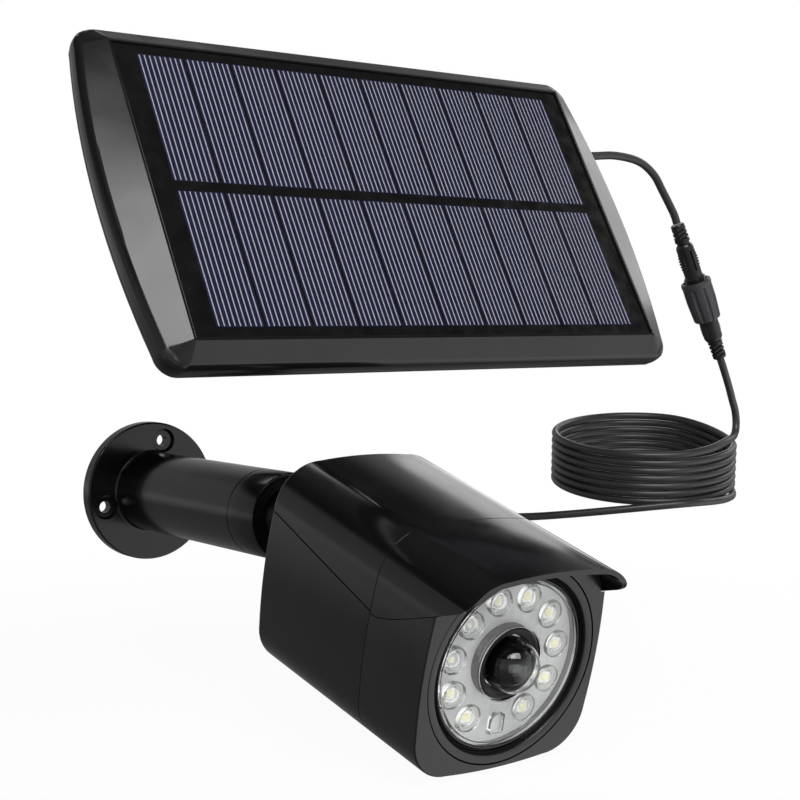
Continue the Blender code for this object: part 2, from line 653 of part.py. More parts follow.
def make_panel(panel):
    """Frame, solar laminate, back, screws, junction box with its gland, and the hinge clevis."""
    shell = loft("panel_frame", [
        panel_outline(-CHAMFER[0], -CHAMFER[1], 0.0, 0.0002, 0.0010),
        panel_outline(0.0, 0.0, SIDE_BULGE, CHAMFER_DEPTH, 0.0080),
        panel_outline(0.0021, 0.0010, SIDE_BULGE, 0.0085, 0.0090),
        panel_outline(0.0016, 0.0006, SIDE_BULGE, PANEL_DEPTH, 0.0085),
    ])
    pocket = box("pocket", (-WINDOW_HALF[0] + 0.0008, -0.01, -WINDOW_HALF[1] + 0.0008),
                 (WINDOW_HALF[0] - 0.0008, 0.0036, WINDOW_HALF[1] - 0.0008))
    inside = box("inside", (-WINDOW_HALF[0] + 0.006, -0.01, -WINDOW_HALF[1] + 0.006),
                 (WINDOW_HALF[0] - 0.006, 0.03, WINDOW_HALF[1] - 0.006))
    blind = [cylinder("hole", SCREW_HOLE, 0.0070, 0.02, 8, place) for place in panel_screw_places()]
    finish(cut(shell, pocket, inside, *blind), panel, FACE_GREY, 0.2)

    laminate = box("solar_laminate", (-WINDOW_HALF[0] + 0.0011, 0.0002, -WINDOW_HALF[1] + 0.0011),
                   (WINDOW_HALF[0] - 0.0011, 0.0033, WINDOW_HALF[1] - 0.0011))
    finish(laminate, panel, (0.01, 0.012, 0.03), 0.08)

    back = loft("panel_back", [
        panel_outline(0.0014, 0.0004, SIDE_BULGE, PANEL_DEPTH + GAP, 0.0085),
        panel_outline(0.0010, 0.0000, SIDE_BULGE, PANEL_BACK - 0.0006, 0.0083),
        panel_outline(0.0000, -0.0009, SIDE_BULGE, PANEL_BACK, 0.0078),
    ])
    holes = [cylinder("hole", SCREW_HOLE, 0.01, 0.02, 8, place) for place in panel_screw_places()]
    finish(cut(back, *holes), panel, FITTING_BLACK, 0.35)

    for number, place in enumerate(panel_screw_places(), start=1):
        make_screw(f"panel_screw_{number}", PANEL_BACK, 0.0074, place, panel)

    make_junction_box(panel)
    make_clevis(panel)


def panel_screw_places():
    """(x, z) of the screws that hold the back, in the solid border of the frame."""
    x = WINDOW_HALF[0] + 0.0045
    return [(side * x, z) for z in (-PANEL_SCREW_Z, PANEL_SCREW_Z) for side in (-1, 1)]


def make_junction_box(panel):
    """Junction box on the panel's back and the gland that the lead leaves by."""
    low = PANEL_BACK + GAP
    loops = []
    for inset, y in ((0.0, low), (0.0, low + BOX_DEPTH - BOX_EDGE), (BOX_EDGE, low + BOX_DEPTH)):
        left, right = BOX_X[0] + inset, BOX_X[1] - inset
        bottom, top = BOX_Z[0] + inset, BOX_Z[1] - inset
        loops.append([(left, y, bottom), (right, y, bottom), (right, y, top), (left, y, top)])
    finish(loft("junction_box", loops), panel, FITTING_BLACK, 0.4)

    root = BOX_X[1] + GAP
    gland = turned("cable_gland", [
        (0.0024, root), (0.0055, root), (0.0055, root + 0.0042), (0.0044, root + 0.0047),
        (0.0040, root + 0.0107), (0.0030, root + 0.0127), (0.0024, root + 0.0127),
    ], 12)
    finish(lay_across(gland, *GLAND_AXIS), panel, RUBBER_BLACK, 0.5)


def hinge_piece(name, half_width, low_y):
    """A rounded ear in the YZ plane, centred on the hinge and running forward to low_y."""
    points = [(low_y, -HINGE_EAR_RADIUS)]
    for step in range(9):
        angle = math.radians(-90 + 180 * step / 8)
        points.append((HINGE_DEPTH + HINGE_EAR_RADIUS * math.cos(angle), HINGE_EAR_RADIUS * math.sin(angle)))
    points.append((low_y, HINGE_EAR_RADIUS))
    return side_cut(name, points, half_width)


def make_clevis(panel):
    """Base plate and two ears, screwed to the middle of the panel's back."""
    base_y = PANEL_BACK + GAP
    clevis = box("panel_clevis", (-0.0260, base_y, -0.0200), (0.0260, base_y + 0.0035, 0.0200))
    block = hinge_piece("block", EAR_OUTER, base_y + 0.0020)
    gap = box("gap", (-EAR_INNER, base_y + 0.0035, -0.03), (EAR_INNER, 0.08, 0.03))
    join(clevis, block)
    pin_hole = lay_across(cylinder("pin_hole", HINGE_HOLE, -0.03, 0.03), HINGE_DEPTH)
    finish(cut(clevis, gap, pin_hole), panel, FITTING_BLACK, 0.4)


def make_panel_arm(wall, panel_rotation):
    """Wall plate and arm in one moulding, ending in the tongue between the clevis ears."""
    hinge = PANEL_CENTRE + panel_rotation @ Vector((0, HINGE_DEPTH, 0))
    plate = turned("panel_arm", [
        (0.0, 0.0), (ARM_PLATE_RADIUS - 0.001, 0.0), (ARM_PLATE_RADIUS, -0.001), (ARM_PLATE_RADIUS, -0.0050),
        (ARM_PLATE_RADIUS - 0.001, -0.0060), (0.0140, -0.0060), (0.0100, -0.0140), (0.0, -0.0140),
    ], 28, (hinge.x, hinge.z))
    points = [(-0.010, -0.0085), (-0.010, 0.0085)]
    for step in range(9):
        angle = math.radians(90 + 180 * step / 8)
        points.append((hinge.y + HINGE_EAR_RADIUS * math.cos(angle), HINGE_EAR_RADIUS * math.sin(angle)))
    bar = side_cut("bar", points, ARM_WIDTH / 2)
    bar.data.transform(Matrix.Translation((hinge.x, 0, hinge.z)))
    join(plate, bar)
    tools = [lay_across(cylinder("pin_hole", HINGE_HOLE, hinge.x - 0.03, hinge.x + 0.03), hinge.y, hinge.z)]
    for degrees in ARM_SCREW_ANGLES:
        angle = math.radians(degrees)
        centre = (hinge.x + ARM_SCREW_CIRCLE * math.cos(angle), hinge.z + ARM_SCREW_CIRCLE * math.sin(angle))
        profile = [(0.0, 0.002), (ARM_SCREW_HOLE, 0.002), (ARM_SCREW_HOLE, -0.0030),
                   (0.0046, -0.0062), (0.0, -0.0062)]
        tools.append(turned("screw_hole", profile, 12, centre))
    finish(cut(plate, *tools), wall, FITTING_BLACK, 0.4)

    hinge_frame = frame("panel_hinge", hinge, Euler((0.0, 0.0, -math.pi / 2)))
    hinge_frame.parent = wall
    bolt = turned("hinge_bolt", [(0.0, 0.0155), (0.0045, 0.0155), (0.0045, 0.0115), (0.0025, 0.0115),
                                 (0.0025, -0.0215), (0.0, -0.0215)], 12)
    finish(bolt, hinge_frame, STEEL, 0.3, 1.0)
    knob = turned("tilt_knob", [(0.0, -0.0115), (0.0065, -0.0115), (0.0065, -0.0150), (0.0050, -0.0200),
                                (0.0, -0.0200)], SMALL_SEGMENTS)
    wing = box("wing", (-0.0150, -0.0190, -0.0016), (0.0150, -0.0130, 0.0016))
    join(knob, wing)
    finish(cut(knob, cylinder("bore", HINGE_HOLE, 0.0, -0.03, 12)), hinge_frame, FITTING_BLACK, 0.4)


# ----------------------------------------------------------------- the lead
def make_connector(wall):
    """The plug on the panel's lead, the camera's socket and the nut that joins them."""
    run = SOCKET_END - PLUG_TOP
    length = run.length
    line = frame("connector", PLUG_TOP, run.to_track_quat("Y", "Z"))
    line.parent = wall
    plug = turned("plug_body", [
        (0.0, 0.0003), (0.0036, 0.0003), (0.0042, 0.0095), (0.0034, 0.0100), (0.0034, 0.0115),
        (0.0048, 0.0130), (0.0050, 0.0300), (0.0060, 0.0310), (0.0060, 0.0440), (0.0, 0.0440),
    ], SMALL_SEGMENTS)
    finish(plug, line, FITTING_BLACK, 0.4)
    socket = turned("socket_body", [
        (0.0, 0.0443), (0.0060, 0.0443), (0.0060, 0.0530), (0.0050, 0.0560), (0.0050, 0.0670),
        (0.0036, 0.0680), (0.0036, length - GAP), (0.0, length - GAP),
    ], SMALL_SEGMENTS)
    finish(socket, line, FITTING_BLACK, 0.4)
    nut = turned("coupling_nut", [
        (0.0064, 0.0328), (0.0080, 0.0328), (0.0083, 0.0345), (0.0083, 0.0440), (0.0074, 0.0555),
        (0.0064, 0.0555),
    ], 24)
    finish(nut, line, (0.12, 0.12, 0.125), 0.45)


def make_lead(wall):
    """The free lead: panel to plug, socket to coil, the coil, and the coil to the bracket."""
    along = (SOCKET_END - PLUG_TOP).normalized()
    lead_tube("panel_lead", [*PANEL_LEAD, PLUG_TOP - along * 0.0060, PLUG_TOP - along * GAP], wall)
    lean = Matrix.Rotation(COIL_HEADING, 4, "Z") @ Matrix.Rotation(COIL_LEAN + math.pi / 2, 4, "X")
    coil_frame = frame("coil_frame", COIL_CENTRE, lean.to_quaternion())
    coil_frame.parent = wall
    half = COIL_TURNS * COIL_PITCH / 2
    coil = turned("cable_coil", [
        (COIL_RADIUS - LEAD_RADIUS, half), (COIL_RADIUS - LEAD_RADIUS, -half),
        (COIL_RADIUS + LEAD_RADIUS, -half), (COIL_RADIUS + LEAD_RADIUS, half),
    ], 40)
    finish(coil, coil_frame, RUBBER_BLACK, 0.5)
    lead_tube("feed_lead", [SOCKET_END + along * GAP, SOCKET_END + along * 0.0060, *FEED_LEAD], wall)
    lead_tube("tail_lead", TAIL_LEAD, wall)


def main():
    """Build the whole object."""
    clear_scene()
    wall = frame("wall", Vector((0, 0, 0)))
    pitch = Euler((HOUSING_PITCH, 0.0, 0.0))
    housing = frame("housing", BALL_CENTRE + pitch.to_matrix() @ Vector((0, SET_BACK, 0)), pitch)
    panel_turn = Euler((PANEL_LEAN, 0.0, 0.0))
    panel = frame("panel", PANEL_CENTRE, panel_turn)
    for assembly in (housing, panel):
        assembly.parent = wall
    make_bracket(wall)
    make_ball_joint(wall, housing)
    make_rear_body(housing)
    make_front_body(housing)
    make_front_optics(housing)
    make_housing_inside(housing)
    make_panel(panel)
    make_panel_arm(wall, panel_turn.to_matrix())
    make_connector(wall)
    make_lead(wall)


main()
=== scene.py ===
"""Looks of the solar-powered security camera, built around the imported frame.

Metres, +Z up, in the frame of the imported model: the wall is the plane y = 0 and the
object stands in front of it, towards -Y.
"""
import json
import math

import bmesh
import bpy
from mathutils import Euler, Matrix, Vector


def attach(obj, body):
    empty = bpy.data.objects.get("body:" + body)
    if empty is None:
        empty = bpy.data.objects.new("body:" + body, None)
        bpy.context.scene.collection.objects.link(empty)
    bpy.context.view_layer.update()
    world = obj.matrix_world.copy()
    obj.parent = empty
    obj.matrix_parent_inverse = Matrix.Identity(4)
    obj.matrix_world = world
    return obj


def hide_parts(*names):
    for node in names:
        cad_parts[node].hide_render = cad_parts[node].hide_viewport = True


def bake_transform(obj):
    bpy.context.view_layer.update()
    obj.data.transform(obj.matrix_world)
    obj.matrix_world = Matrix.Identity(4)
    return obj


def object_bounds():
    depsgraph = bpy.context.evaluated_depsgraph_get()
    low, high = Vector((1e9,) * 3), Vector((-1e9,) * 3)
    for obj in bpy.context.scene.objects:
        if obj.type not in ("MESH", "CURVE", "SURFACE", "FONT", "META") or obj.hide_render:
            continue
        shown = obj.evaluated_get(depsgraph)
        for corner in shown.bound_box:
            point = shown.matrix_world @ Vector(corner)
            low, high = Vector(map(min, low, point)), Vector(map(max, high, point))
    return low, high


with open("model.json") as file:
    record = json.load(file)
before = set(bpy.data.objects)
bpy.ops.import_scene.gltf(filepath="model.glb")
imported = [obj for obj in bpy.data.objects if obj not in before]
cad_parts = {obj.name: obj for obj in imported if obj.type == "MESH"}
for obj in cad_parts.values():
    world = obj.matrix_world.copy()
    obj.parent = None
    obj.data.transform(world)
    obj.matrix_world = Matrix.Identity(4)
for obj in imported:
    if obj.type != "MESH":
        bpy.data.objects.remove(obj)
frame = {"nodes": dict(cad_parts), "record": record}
cad_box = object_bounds()

# ---------------------------------------------------------------- dimensions
GAP = 0.0003
SEAM = 0.00015                   # half the width of a closed seam between two shells
PAST = 0.06                      # a distance from the housing's axis that is outside it all round

FLANGE_RADIUS = 0.035
FLANGE_THICKNESS = 0.007
TUBE_RADIUS = 0.0199
TUBE_END = -0.1143
COLLAR_END = -0.1356
SPIGOT_RADIUS = 0.0180
SPIGOT_END = -0.1215
SEAT_BORE = 0.0160
SEAT_LEDGE = -0.1057
CABLE_BORE = 0.0140
BORE_FLOOR = -0.012
WALL_SCREW_CIRCLE = 0.0263
WALL_SCREW_HOLE = 0.0029
WALL_SCREW_HEAD = 0.0050
WALL_SCREW_MOUTH = 0.0061
WALL_SCREW_SEAT = -0.0051
WALL_SCREW_ANGLES = (74.6, -45.4, 194.6)
GROMMET_Y = -0.060
BALL_CENTRE = Vector((0.0, -0.130, 0.0))
BALL_RADIUS = 0.0140
NECK_RADIUS = 0.0065

HOUSING_PITCH = math.radians(13.7)
SET_BACK = 0.0018                # how far the housing's origin lies behind the ball centre
HALF_WIDTH = 0.0415
TOP = 0.0403                     # at the front face
TOP_SLOPE = 0.042                # rise of the top per metre towards the back
BOTTOM = -0.0418
CROWN = 0.0012                   # how far each side bulges between its corners
TOP_CORNER = 0.0195
BOTTOM_CORNER = 0.0176
REAR = -0.0536
PARTING = -0.1260
FACE = -0.1610
WALL = 0.0024
COVER_SEAM = ((-0.050, 0.0256), (-0.130, 0.0104))
VISOR_TIP = -0.1750
VISOR_EDGE = ((-0.120, 0.0108), (-0.129, 0.0104), (-0.134, 0.0116), (-0.1432, 0.0151), (-0.1695, 0.0274))
VISOR_BROW = ((-0.1727, 0.0299), (-0.1746, 0.0330))
VISOR_SHEET = 0.0020
BOSS_START = -0.026
BOSS_RADII = (0.0110, 0.0190)
STUD_SHANK = 0.0049
HOUSING_SCREW_X = 0.0325
HOUSING_SCREW_Z = (-0.0300, 0.0120)
BUTTON_RADIUS = 0.0050
BUTTON_Y = -0.0850

OPTIC = (0.0, -0.0015)           # (x, z) of the optical axis in the housing's frame
BEZEL_RADIUS = 0.0393
GROOVE_RADIUS = 0.0352
WINDOW_RADIUS = 0.0334
WINDOW_FRONT = -0.1597
LED_COUNT = 10
LED_SLOTS = 11
LED_CIRCLE = 0.0245
LED_LENS_RADIUS = 0.0053
LED_PLANE = -0.1540
BARREL_RADIUS = 0.0142
DOME_RADIUS = 0.0105
DOME_CENTRE = -0.1602
EYE_RADIUS = 0.0086
EYE_CENTRE = -0.1582

PANEL_CENTRE = Vector((0.0302, -0.1774, 0.1398))
PANEL_LEAN = math.radians(-29.56)
WINDOW_HALF = (0.1205, 0.0680)
CHAMFER = (0.0098, 0.0080)
CHAMFER_DEPTH = 0.005
SIDE_BULGE = 0.0060
PANEL_DEPTH = 0.013
PANEL_BACK = 0.0158
PANEL_SCREW_Z = 0.055
CELL_HALF = (0.1100, 0.0625)
CELL_COLUMNS = 10
CELL_FINGERS = 9
BOX_X = (0.060, 0.088)
BOX_Z = (0.030, 0.058)
BOX_DEPTH = 0.0170
GLAND_AXIS = (0.0250, 0.0440)

LEAD_DIAMETER = 0.0042
LEAD_RUN_IN = 0.0060             # each lead's straight run at the connector
COIL_TURNS = 7
COIL_PITCH = 0.0043
COIL_RADIUS = 0.0505
COIL_CENTRE = Vector((0.2740, -0.0871, 0.0080))
COIL_LEAN = math.radians(8.6)
COIL_HEADING = math.radians(-37.3)
PLUG_TOP = Vector((0.2452, -0.1378, 0.1379))
SOCKET_END = Vector((0.2765, -0.1416, 0.0659))
PANEL_LEAD = (
    (0.1317, -0.1340, 0.1659), (0.1440, -0.1340, 0.1666), (0.1600, -0.1338, 0.1684),
    (0.1873, -0.1334, 0.1707), (0.2035, -0.1334, 0.1718), (0.2190, -0.1345, 0.1697),
    (0.2290, -0.1356, 0.1636), (0.2352, -0.1365, 0.1550),
)
FEED_LEAD = (
    (0.2870, -0.1387, 0.0507), (0.2941, -0.1353, 0.0426), (0.3008, -0.1321, 0.0349),
    (0.3017, -0.1320, 0.0272), (0.2972, -0.1341, 0.0216),
)
TAIL_LEAD = (
    (0.2042, -0.1020, -0.0182), (0.1800, -0.0830, -0.0200), (0.1500, -0.0665, -0.0190),
    (0.1200, -0.0590, -0.0160), (0.0850, -0.0580, -0.0105), (0.0550, -0.0595, -0.0040),
    (0.0380, -0.0600, -0.0005), (0.0266, -0.0600, 0.0),
)

HOUSING = (Matrix.Translation(BALL_CENTRE) @ Matrix.Rotation(HOUSING_PITCH, 4, "X")
           @ Matrix.Translation((0, SET_BACK, 0)))
PANEL = Matrix.Translation(PANEL_CENTRE) @ Matrix.Rotation(PANEL_LEAN, 4, "X")
COIL = (Matrix.Translation(COIL_CENTRE) @ Matrix.Rotation(COIL_HEADING, 4, "Z")
        @ Matrix.Rotation(COIL_LEAN + math.pi / 2, 4, "X"))
CONNECTOR = (Matrix.Translation(PLUG_TOP)
             @ (SOCKET_END - PLUG_TOP).to_track_quat("Y", "Z").to_matrix().to_4x4())
ACROSS = Matrix.Rotation(-math.pi / 2, 4, "Z")     # turns a piece made along Y so that it runs along X


# -------------------------------------------------------------- mesh helpers
def add_object(name, data):
    """A new object in the scene."""
    piece = bpy.data.objects.new(name, data)
    bpy.context.scene.collection.objects.link(piece)
    return piece


def final_mesh(piece):
    """A mesh of the piece as its modifiers or its curve settings make it."""
    bpy.context.view_layer.update()
    return bpy.data.meshes.new_from_object(piece.evaluated_get(bpy.context.evaluated_depsgraph_get()))


def new_piece(name, builder, sharp=30.0):
    """An object from a bmesh, faces out, smooth except across edges sharper than an angle."""
    bmesh.ops.recalc_face_normals(builder, faces=builder.faces)
    mesh = bpy.data.meshes.new(name)
    builder.to_mesh(mesh)
    builder.free()
    mesh.shade_smooth()
    mesh.set_sharp_from_angle(angle=math.radians(sharp))
    return add_object(name, mesh)


def add_loft(builder, loops):
    """Add a solid through equal loops of points, capped at its ends, to a bmesh."""
    rows = [[builder.verts.new(point) for point in loop] for loop in loops]
    count = len(rows[0])
    builder.faces.new(rows[0])
    builder.faces.new(rows[-1])
    for here, there in zip(rows, rows[1:]):
        for step in range(count):
            after = (step + 1) % count
            builder.faces.new((here[step], here[after], there[after], there[step]))


def loft(name, loops, sharp=30.0):
    """A solid through equal loops of points, capped at its ends."""
    builder = bmesh.new()
    add_loft(builder, loops)
    return new_piece(name, builder, sharp)


def circle(radius, y, centre, count):
    """Points of a circle about the Y direction, through centre (x, z)."""
    turns = (math.tau * step / count for step in range(count))
    return [(centre[0] + radius * math.cos(turn), y, centre[1] + radius * math.sin(turn)) for turn in turns]


def turned(name, profile, segments=96, centre=(0.0, 0.0), sharp=30.0):
    """A profile of (radius, along) points turned about the Y axis through centre (x, z)."""
    builder = bmesh.new()
    rows = []
    for radius, along in profile:
        if radius == 0.0:
            rows.append([builder.verts.new((centre[0], along, centre[1]))])
            continue
        rows.append([builder.verts.new(point) for point in circle(radius, along, centre, segments)])
    for here, there in zip(rows, rows[1:] + rows[:1]):
        if len(here) == 1 and len(there) == 1:
            continue
        for step in range(segments):
            after = (step + 1) % segments
            corners = [here[step % len(here)], here[after % len(here)],
                       there[after % len(there)], there[step % len(there)]]
            builder.faces.new(list(dict.fromkeys(corners)))
    return new_piece(name, builder, sharp)


def cylinder(name, radius, start, end, segments=48, centre=(0.0, 0.0)):
    """A plain round bar along Y, used as a cutter."""
    return turned(name, [(0.0, start), (radius, start), (radius, end), (0.0, end)], segments, centre)


def box(name, first, second):
    """A block between two opposite corners, used as a cutter or with rounded edges."""
    low, high = zip(*(sorted(pair) for pair in zip(first, second)))
    builder = bmesh.new()
    bmesh.ops.create_cube(builder, size=1.0)
    size = Vector(high) - Vector(low)
    centre = (Vector(high) + Vector(low)) / 2
    bmesh.ops.transform(builder, matrix=Matrix.Translation(centre) @ Matrix.Diagonal((*size, 1.0)),
                        verts=builder.verts)
    return new_piece(name, builder)


def side_cut(name, points):
    """A cutter whose outline is drawn in the YZ plane and which runs along X, past the housing's sides."""
    return loft(name, [[(x, y, z) for y, z in points] for x in (-PAST, PAST)])


def cleaned(mesh, flat):
    """A bmesh with close points merged and edges flatter than an angle dissolved."""
    builder = bmesh.new()
    builder.from_mesh(mesh)
    bmesh.ops.remove_doubles(builder, verts=builder.verts, dist=1e-6)
    bmesh.ops.dissolve_limit(builder, angle_limit=math.radians(flat), verts=builder.verts,
                             edges=builder.edges)
    return builder


def shape(piece, tools, operation, sharp):
    """Cut tools from a piece, or join them to it, and discard the tools."""
    for tool in tools:
        modifier = piece.modifiers.new(operation.title(), "BOOLEAN")
        modifier.operation = operation
        modifier.solver = "EXACT"
        modifier.object = tool
    result = final_mesh(piece)
    piece.modifiers.clear()
    piece.data = result
    for tool in tools:
        bpy.data.objects.remove(tool, do_unlink=True)
    builder = cleaned(result, 0.1)
    builder.to_mesh(result)
    builder.free()
    result.shade_smooth()
    result.set_sharp_from_angle(angle=math.radians(sharp))
    return piece


def cut(piece, *tools, sharp=30.0):
    """Remove the tools' volume from a piece."""
    return shape(piece, tools, "DIFFERENCE", sharp)


def join(piece, *tools, sharp=30.0):
    """Fuse the tools into a piece."""
    return shape(piece, tools, "UNION", sharp)


def soften(piece, width, segments=3, angle=32.0):
    """Round a piece's edges, and keep its flat faces flat in the shading."""
    bevel = piece.modifiers.new("Rounded edges", "BEVEL")
    bevel.width = width
    bevel.segments = segments
    bevel.limit_method = "ANGLE"
    bevel.angle_limit = math.radians(angle)
    bevel.harden_normals = True
    bevel.miter_outer = "MITER_ARC"
    normals = piece.modifiers.new("Flat faces", "WEIGHTED_NORMAL")
    normals.keep_sharp = True
    normals.weight = 80
    return piece


def sweep(step, count, start=0):
    """Evenly spaced angles, given in degrees, in radians."""
    return [math.radians(start + step * index) for index in range(count)]


def offsets(radius, along, *steps):
    """Points of a profile, each given by its distances from one corner."""
    return [(radius + out, along + on) for out, on in steps]


def arc(radius, start, end, steps, centre=0.0):
    """(radius, along) points of an arc between two polar angles in degrees from +Y."""
    points = []
    for step in range(steps + 1):
        angle = math.radians(start + (end - start) * step / steps)
        points.append((max(radius * math.sin(angle), 0.0), centre + radius * math.cos(angle)))
    return points


def section(inset, y):
    """The housing's rounded and slightly crowned cross-section, inset by a wall, at one station."""
    steps = 12
    rises = 11
    top = TOP + TOP_SLOPE * (y - FACE)
    corners = (
        (HALF_WIDTH - TOP_CORNER, top - TOP_CORNER, TOP_CORNER, 0),
        (TOP_CORNER - HALF_WIDTH, top - TOP_CORNER, TOP_CORNER, 90),
        (BOTTOM_CORNER - HALF_WIDTH, BOTTOM + BOTTOM_CORNER, BOTTOM_CORNER, 180),
        (HALF_WIDTH - BOTTOM_CORNER, BOTTOM + BOTTOM_CORNER, BOTTOM_CORNER, 270),
    )
    rounds = []
    for x, z, radius, start in corners:
        angles = (math.radians(start + 90 * step / steps) for step in range(steps + 1))
        reach = radius - inset
        rounds.append([Vector((x + reach * math.cos(angle), y, z + reach * math.sin(angle)))
                       for angle in angles])
    points = []
    for here, there, out in zip(rounds, rounds[1:] + rounds[:1], ((0, 1), (-1, 0), (0, -1), (1, 0))):
        points += here
        for step in range(1, rises + 1):
            share = step / (rises + 1)
            swell = 4 * CROWN * share * (1 - share)
            points.append(here[-1].lerp(there[0], share) + Vector((out[0] * swell, 0, out[1] * swell)))
    return [tuple(point) for point in points]


def smooth_route(points, spacing):
    """Points at an even spacing along a smooth curve through the given ones."""
    knots = [Vector(point) for point in points]
    knots = [2 * knots[0] - knots[1]] + knots + [2 * knots[-1] - knots[-2]]
    dense = []
    for before, here, there, after in zip(knots, knots[1:], knots[2:], knots[3:]):
        for step in range(24):
            t = step / 24
            dense.append(0.5 * (2 * here + (there - before) * t
                                + (2 * before - 5 * here + 4 * there - after) * t * t
                                + (3 * here - before - 3 * there + after) * t * t * t))
    dense.append(knots[-2])
    lengths = [0.0]
    for here, there in zip(dense, dense[1:]):
        lengths.append(lengths[-1] + (there - here).length)
    count = max(2, round(lengths[-1] / spacing))
    even = []
    index = 0
    for step in range(count + 1):
        target = lengths[-1] * step / count
        while index < len(lengths) - 2 and lengths[index + 1] < target:
            index += 1
        share = (target - lengths[index]) / (lengths[index + 1] - lengths[index])
        even.append(dense[index].lerp(dense[index + 1], min(max(share, 0.0), 1.0)))
    return even


def smooth_line(points, spacing):
    """Points (y, z) at an even spacing along a smooth curve through the given ones."""
    return [(point.y, point.z) for point in smooth_route([(0, *point) for point in points], spacing)]


def paint(piece, material):
    """Give a piece one material all over."""
    piece.data.materials.clear()
    piece.data.materials.append(material)


def put(piece, body, slot, replaces=(), at=Matrix.Identity(4), material=None):
    """Place a finished piece on its body, in its slot's material or another, with what it stands for."""
    paint(piece, material or MATERIALS[slot])
    piece.matrix_world = at
    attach(piece, body)
    if replaces:
        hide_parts(*([replaces] if isinstance(replaces, str) else replaces))
    return piece


def put_in_housing(piece, slot, replaces=(), material=None):
    """Place a piece that is drawn in the housing's own frame."""
    return put(piece, "housing", slot, replaces, HOUSING, material)


def put_on_panel(piece, slot, replaces=(), material=None):
    """Place a piece that is drawn in the panel's own frame."""
    return put(piece, "panel", slot, replaces, PANEL, material)


def across(piece, y, z=0.0):
    """Turn a piece made along Y so that it runs along X, through a point of the YZ plane."""
    piece.data.transform(Matrix.Translation((0, y, z)) @ ACROSS)
    return piece


def refined(node, name, width, segments=3):
    """A copy of a CAD node's mesh with its edges rounded."""
    piece = new_piece(name, cleaned(frame["nodes"][node].data, 0.5))
    return soften(piece, width, segments, angle=30.0)


# ----------------------------------------------------------- material helpers
def feed(tree, node, **values):
    """Set a node's inputs, each to a number, a colour, a vector or another node's output."""
    for name, value in values.items():
        socket = node.inputs[name.replace("_", " ")]
        if isinstance(value, bpy.types.NodeSocket):
            tree.links.new(value, socket)
        elif isinstance(value, float):
            socket.default_value = value
        else:
            socket.default_value = (*value, 1.0)[:len(socket.default_value)]
    return node


def add_node(tree, kind, **values):
    """A new shader node with its inputs set."""
    return feed(tree, tree.nodes.new(f"ShaderNode{kind}"), **values)


def new_material(name, colour, roughness, metallic=0.0, specular=0.5):
    """A Principled material and its node tree, with the values that are the same all over."""
    material = bpy.data.materials.new(name)
    material.use_nodes = True
    tree = material.node_tree
    shader = feed(tree, tree.nodes["Principled BSDF"], Base_Color=colour, Roughness=roughness,
                  Metallic=metallic, Specular_IOR_Level=specular)
    return material, tree, shader


def tinted(colour, factor, lift=0.0):
    """A colour made lighter or darker."""
    return [channel * factor + lift for channel in colour]


def own_place(tree):
    """The object's own coordinates."""
    return add_node(tree, "TexCoord").outputs["Object"]


def noise(tree, scale, detail=3.0, stretch=(1.0, 1.0, 1.0)):
    """Soft noise over the object's own coordinates."""
    place = add_node(tree, "Mapping", Vector=own_place(tree), Scale=stretch).outputs["Vector"]
    return add_node(tree, "TexNoise", Vector=place, Scale=scale, Detail=detail).outputs["Fac"]


def ramp(tree, value, low, high, start=0.35, end=0.65):
    """A value taken from one range to another, and held at its ends."""
    node = add_node(tree, "MapRange", Value=value, From_Min=start, From_Max=end, To_Min=low, To_Max=high)
    return node.outputs["Result"]


def mix(tree, factor, first, second):
    """A blend of two colours, each a fixed colour or another node's output."""
    node = tree.nodes.new("ShaderNodeMix")
    node.data_type = "RGBA"
    tree.links.new(factor, node.inputs["Factor"])
    for socket, colour in ((node.inputs[6], first), (node.inputs[7], second)):
        if isinstance(colour, bpy.types.NodeSocket):
            tree.links.new(colour, socket)
        else:
            socket.default_value = (*colour, 1.0)
    return node.outputs[2]


def vary(tree, shader, socket, value, first, second, start=0.35, end=0.65):
    """Let a value take a shader's socket from one number or colour to another."""
    if isinstance(first, float):
        output = ramp(tree, value, first, second, start, end)
    else:
        output = mix(tree, ramp(tree, value, 0.0, 1.0, start, end), first, second)
    feed(tree, shader, **{socket: output})


def choose(tree, factor, first, second, output):
    """Show the first shader where a factor is 0 and the second where it is 1."""
    choice = add_node(tree, "MixShader", Fac=factor)
    tree.links.new(first.outputs[0], choice.inputs[1])
    tree.links.new(second.outputs[0], choice.inputs[2])
    feed(tree, tree.nodes[output], Surface=choice.outputs["Shader"])


def arithmetic(tree, operation, first, second):
    """One Math node between an output and an output or a number."""
    node = tree.nodes.new("ShaderNodeMath")
    node.operation = operation
    tree.links.new(first, node.inputs[0])
    if isinstance(second, bpy.types.NodeSocket):
        tree.links.new(second, node.inputs[1])
    else:
        node.inputs[1].default_value = second
    return node.outputs["Value"]


def bump(tree, shader, height, depth, strength=1.0):
    """Relief on a shader from a height, with its depth in metres."""
    node = add_node(tree, "Bump", Strength=strength, Distance=depth, Height=height)
    feed(tree, shader, Normal=node.outputs["Normal"])


def edge_wear(tree):
    """A mask that is white along outer edges."""
    edges = ramp(tree, add_node(tree, "NewGeometry").outputs["Pointiness"], 0.0, 1.0, 0.53, 0.62)
    broken = ramp(tree, noise(tree, 700.0), 0.25, 1.0)
    return arithmetic(tree, "MULTIPLY", edges, broken)


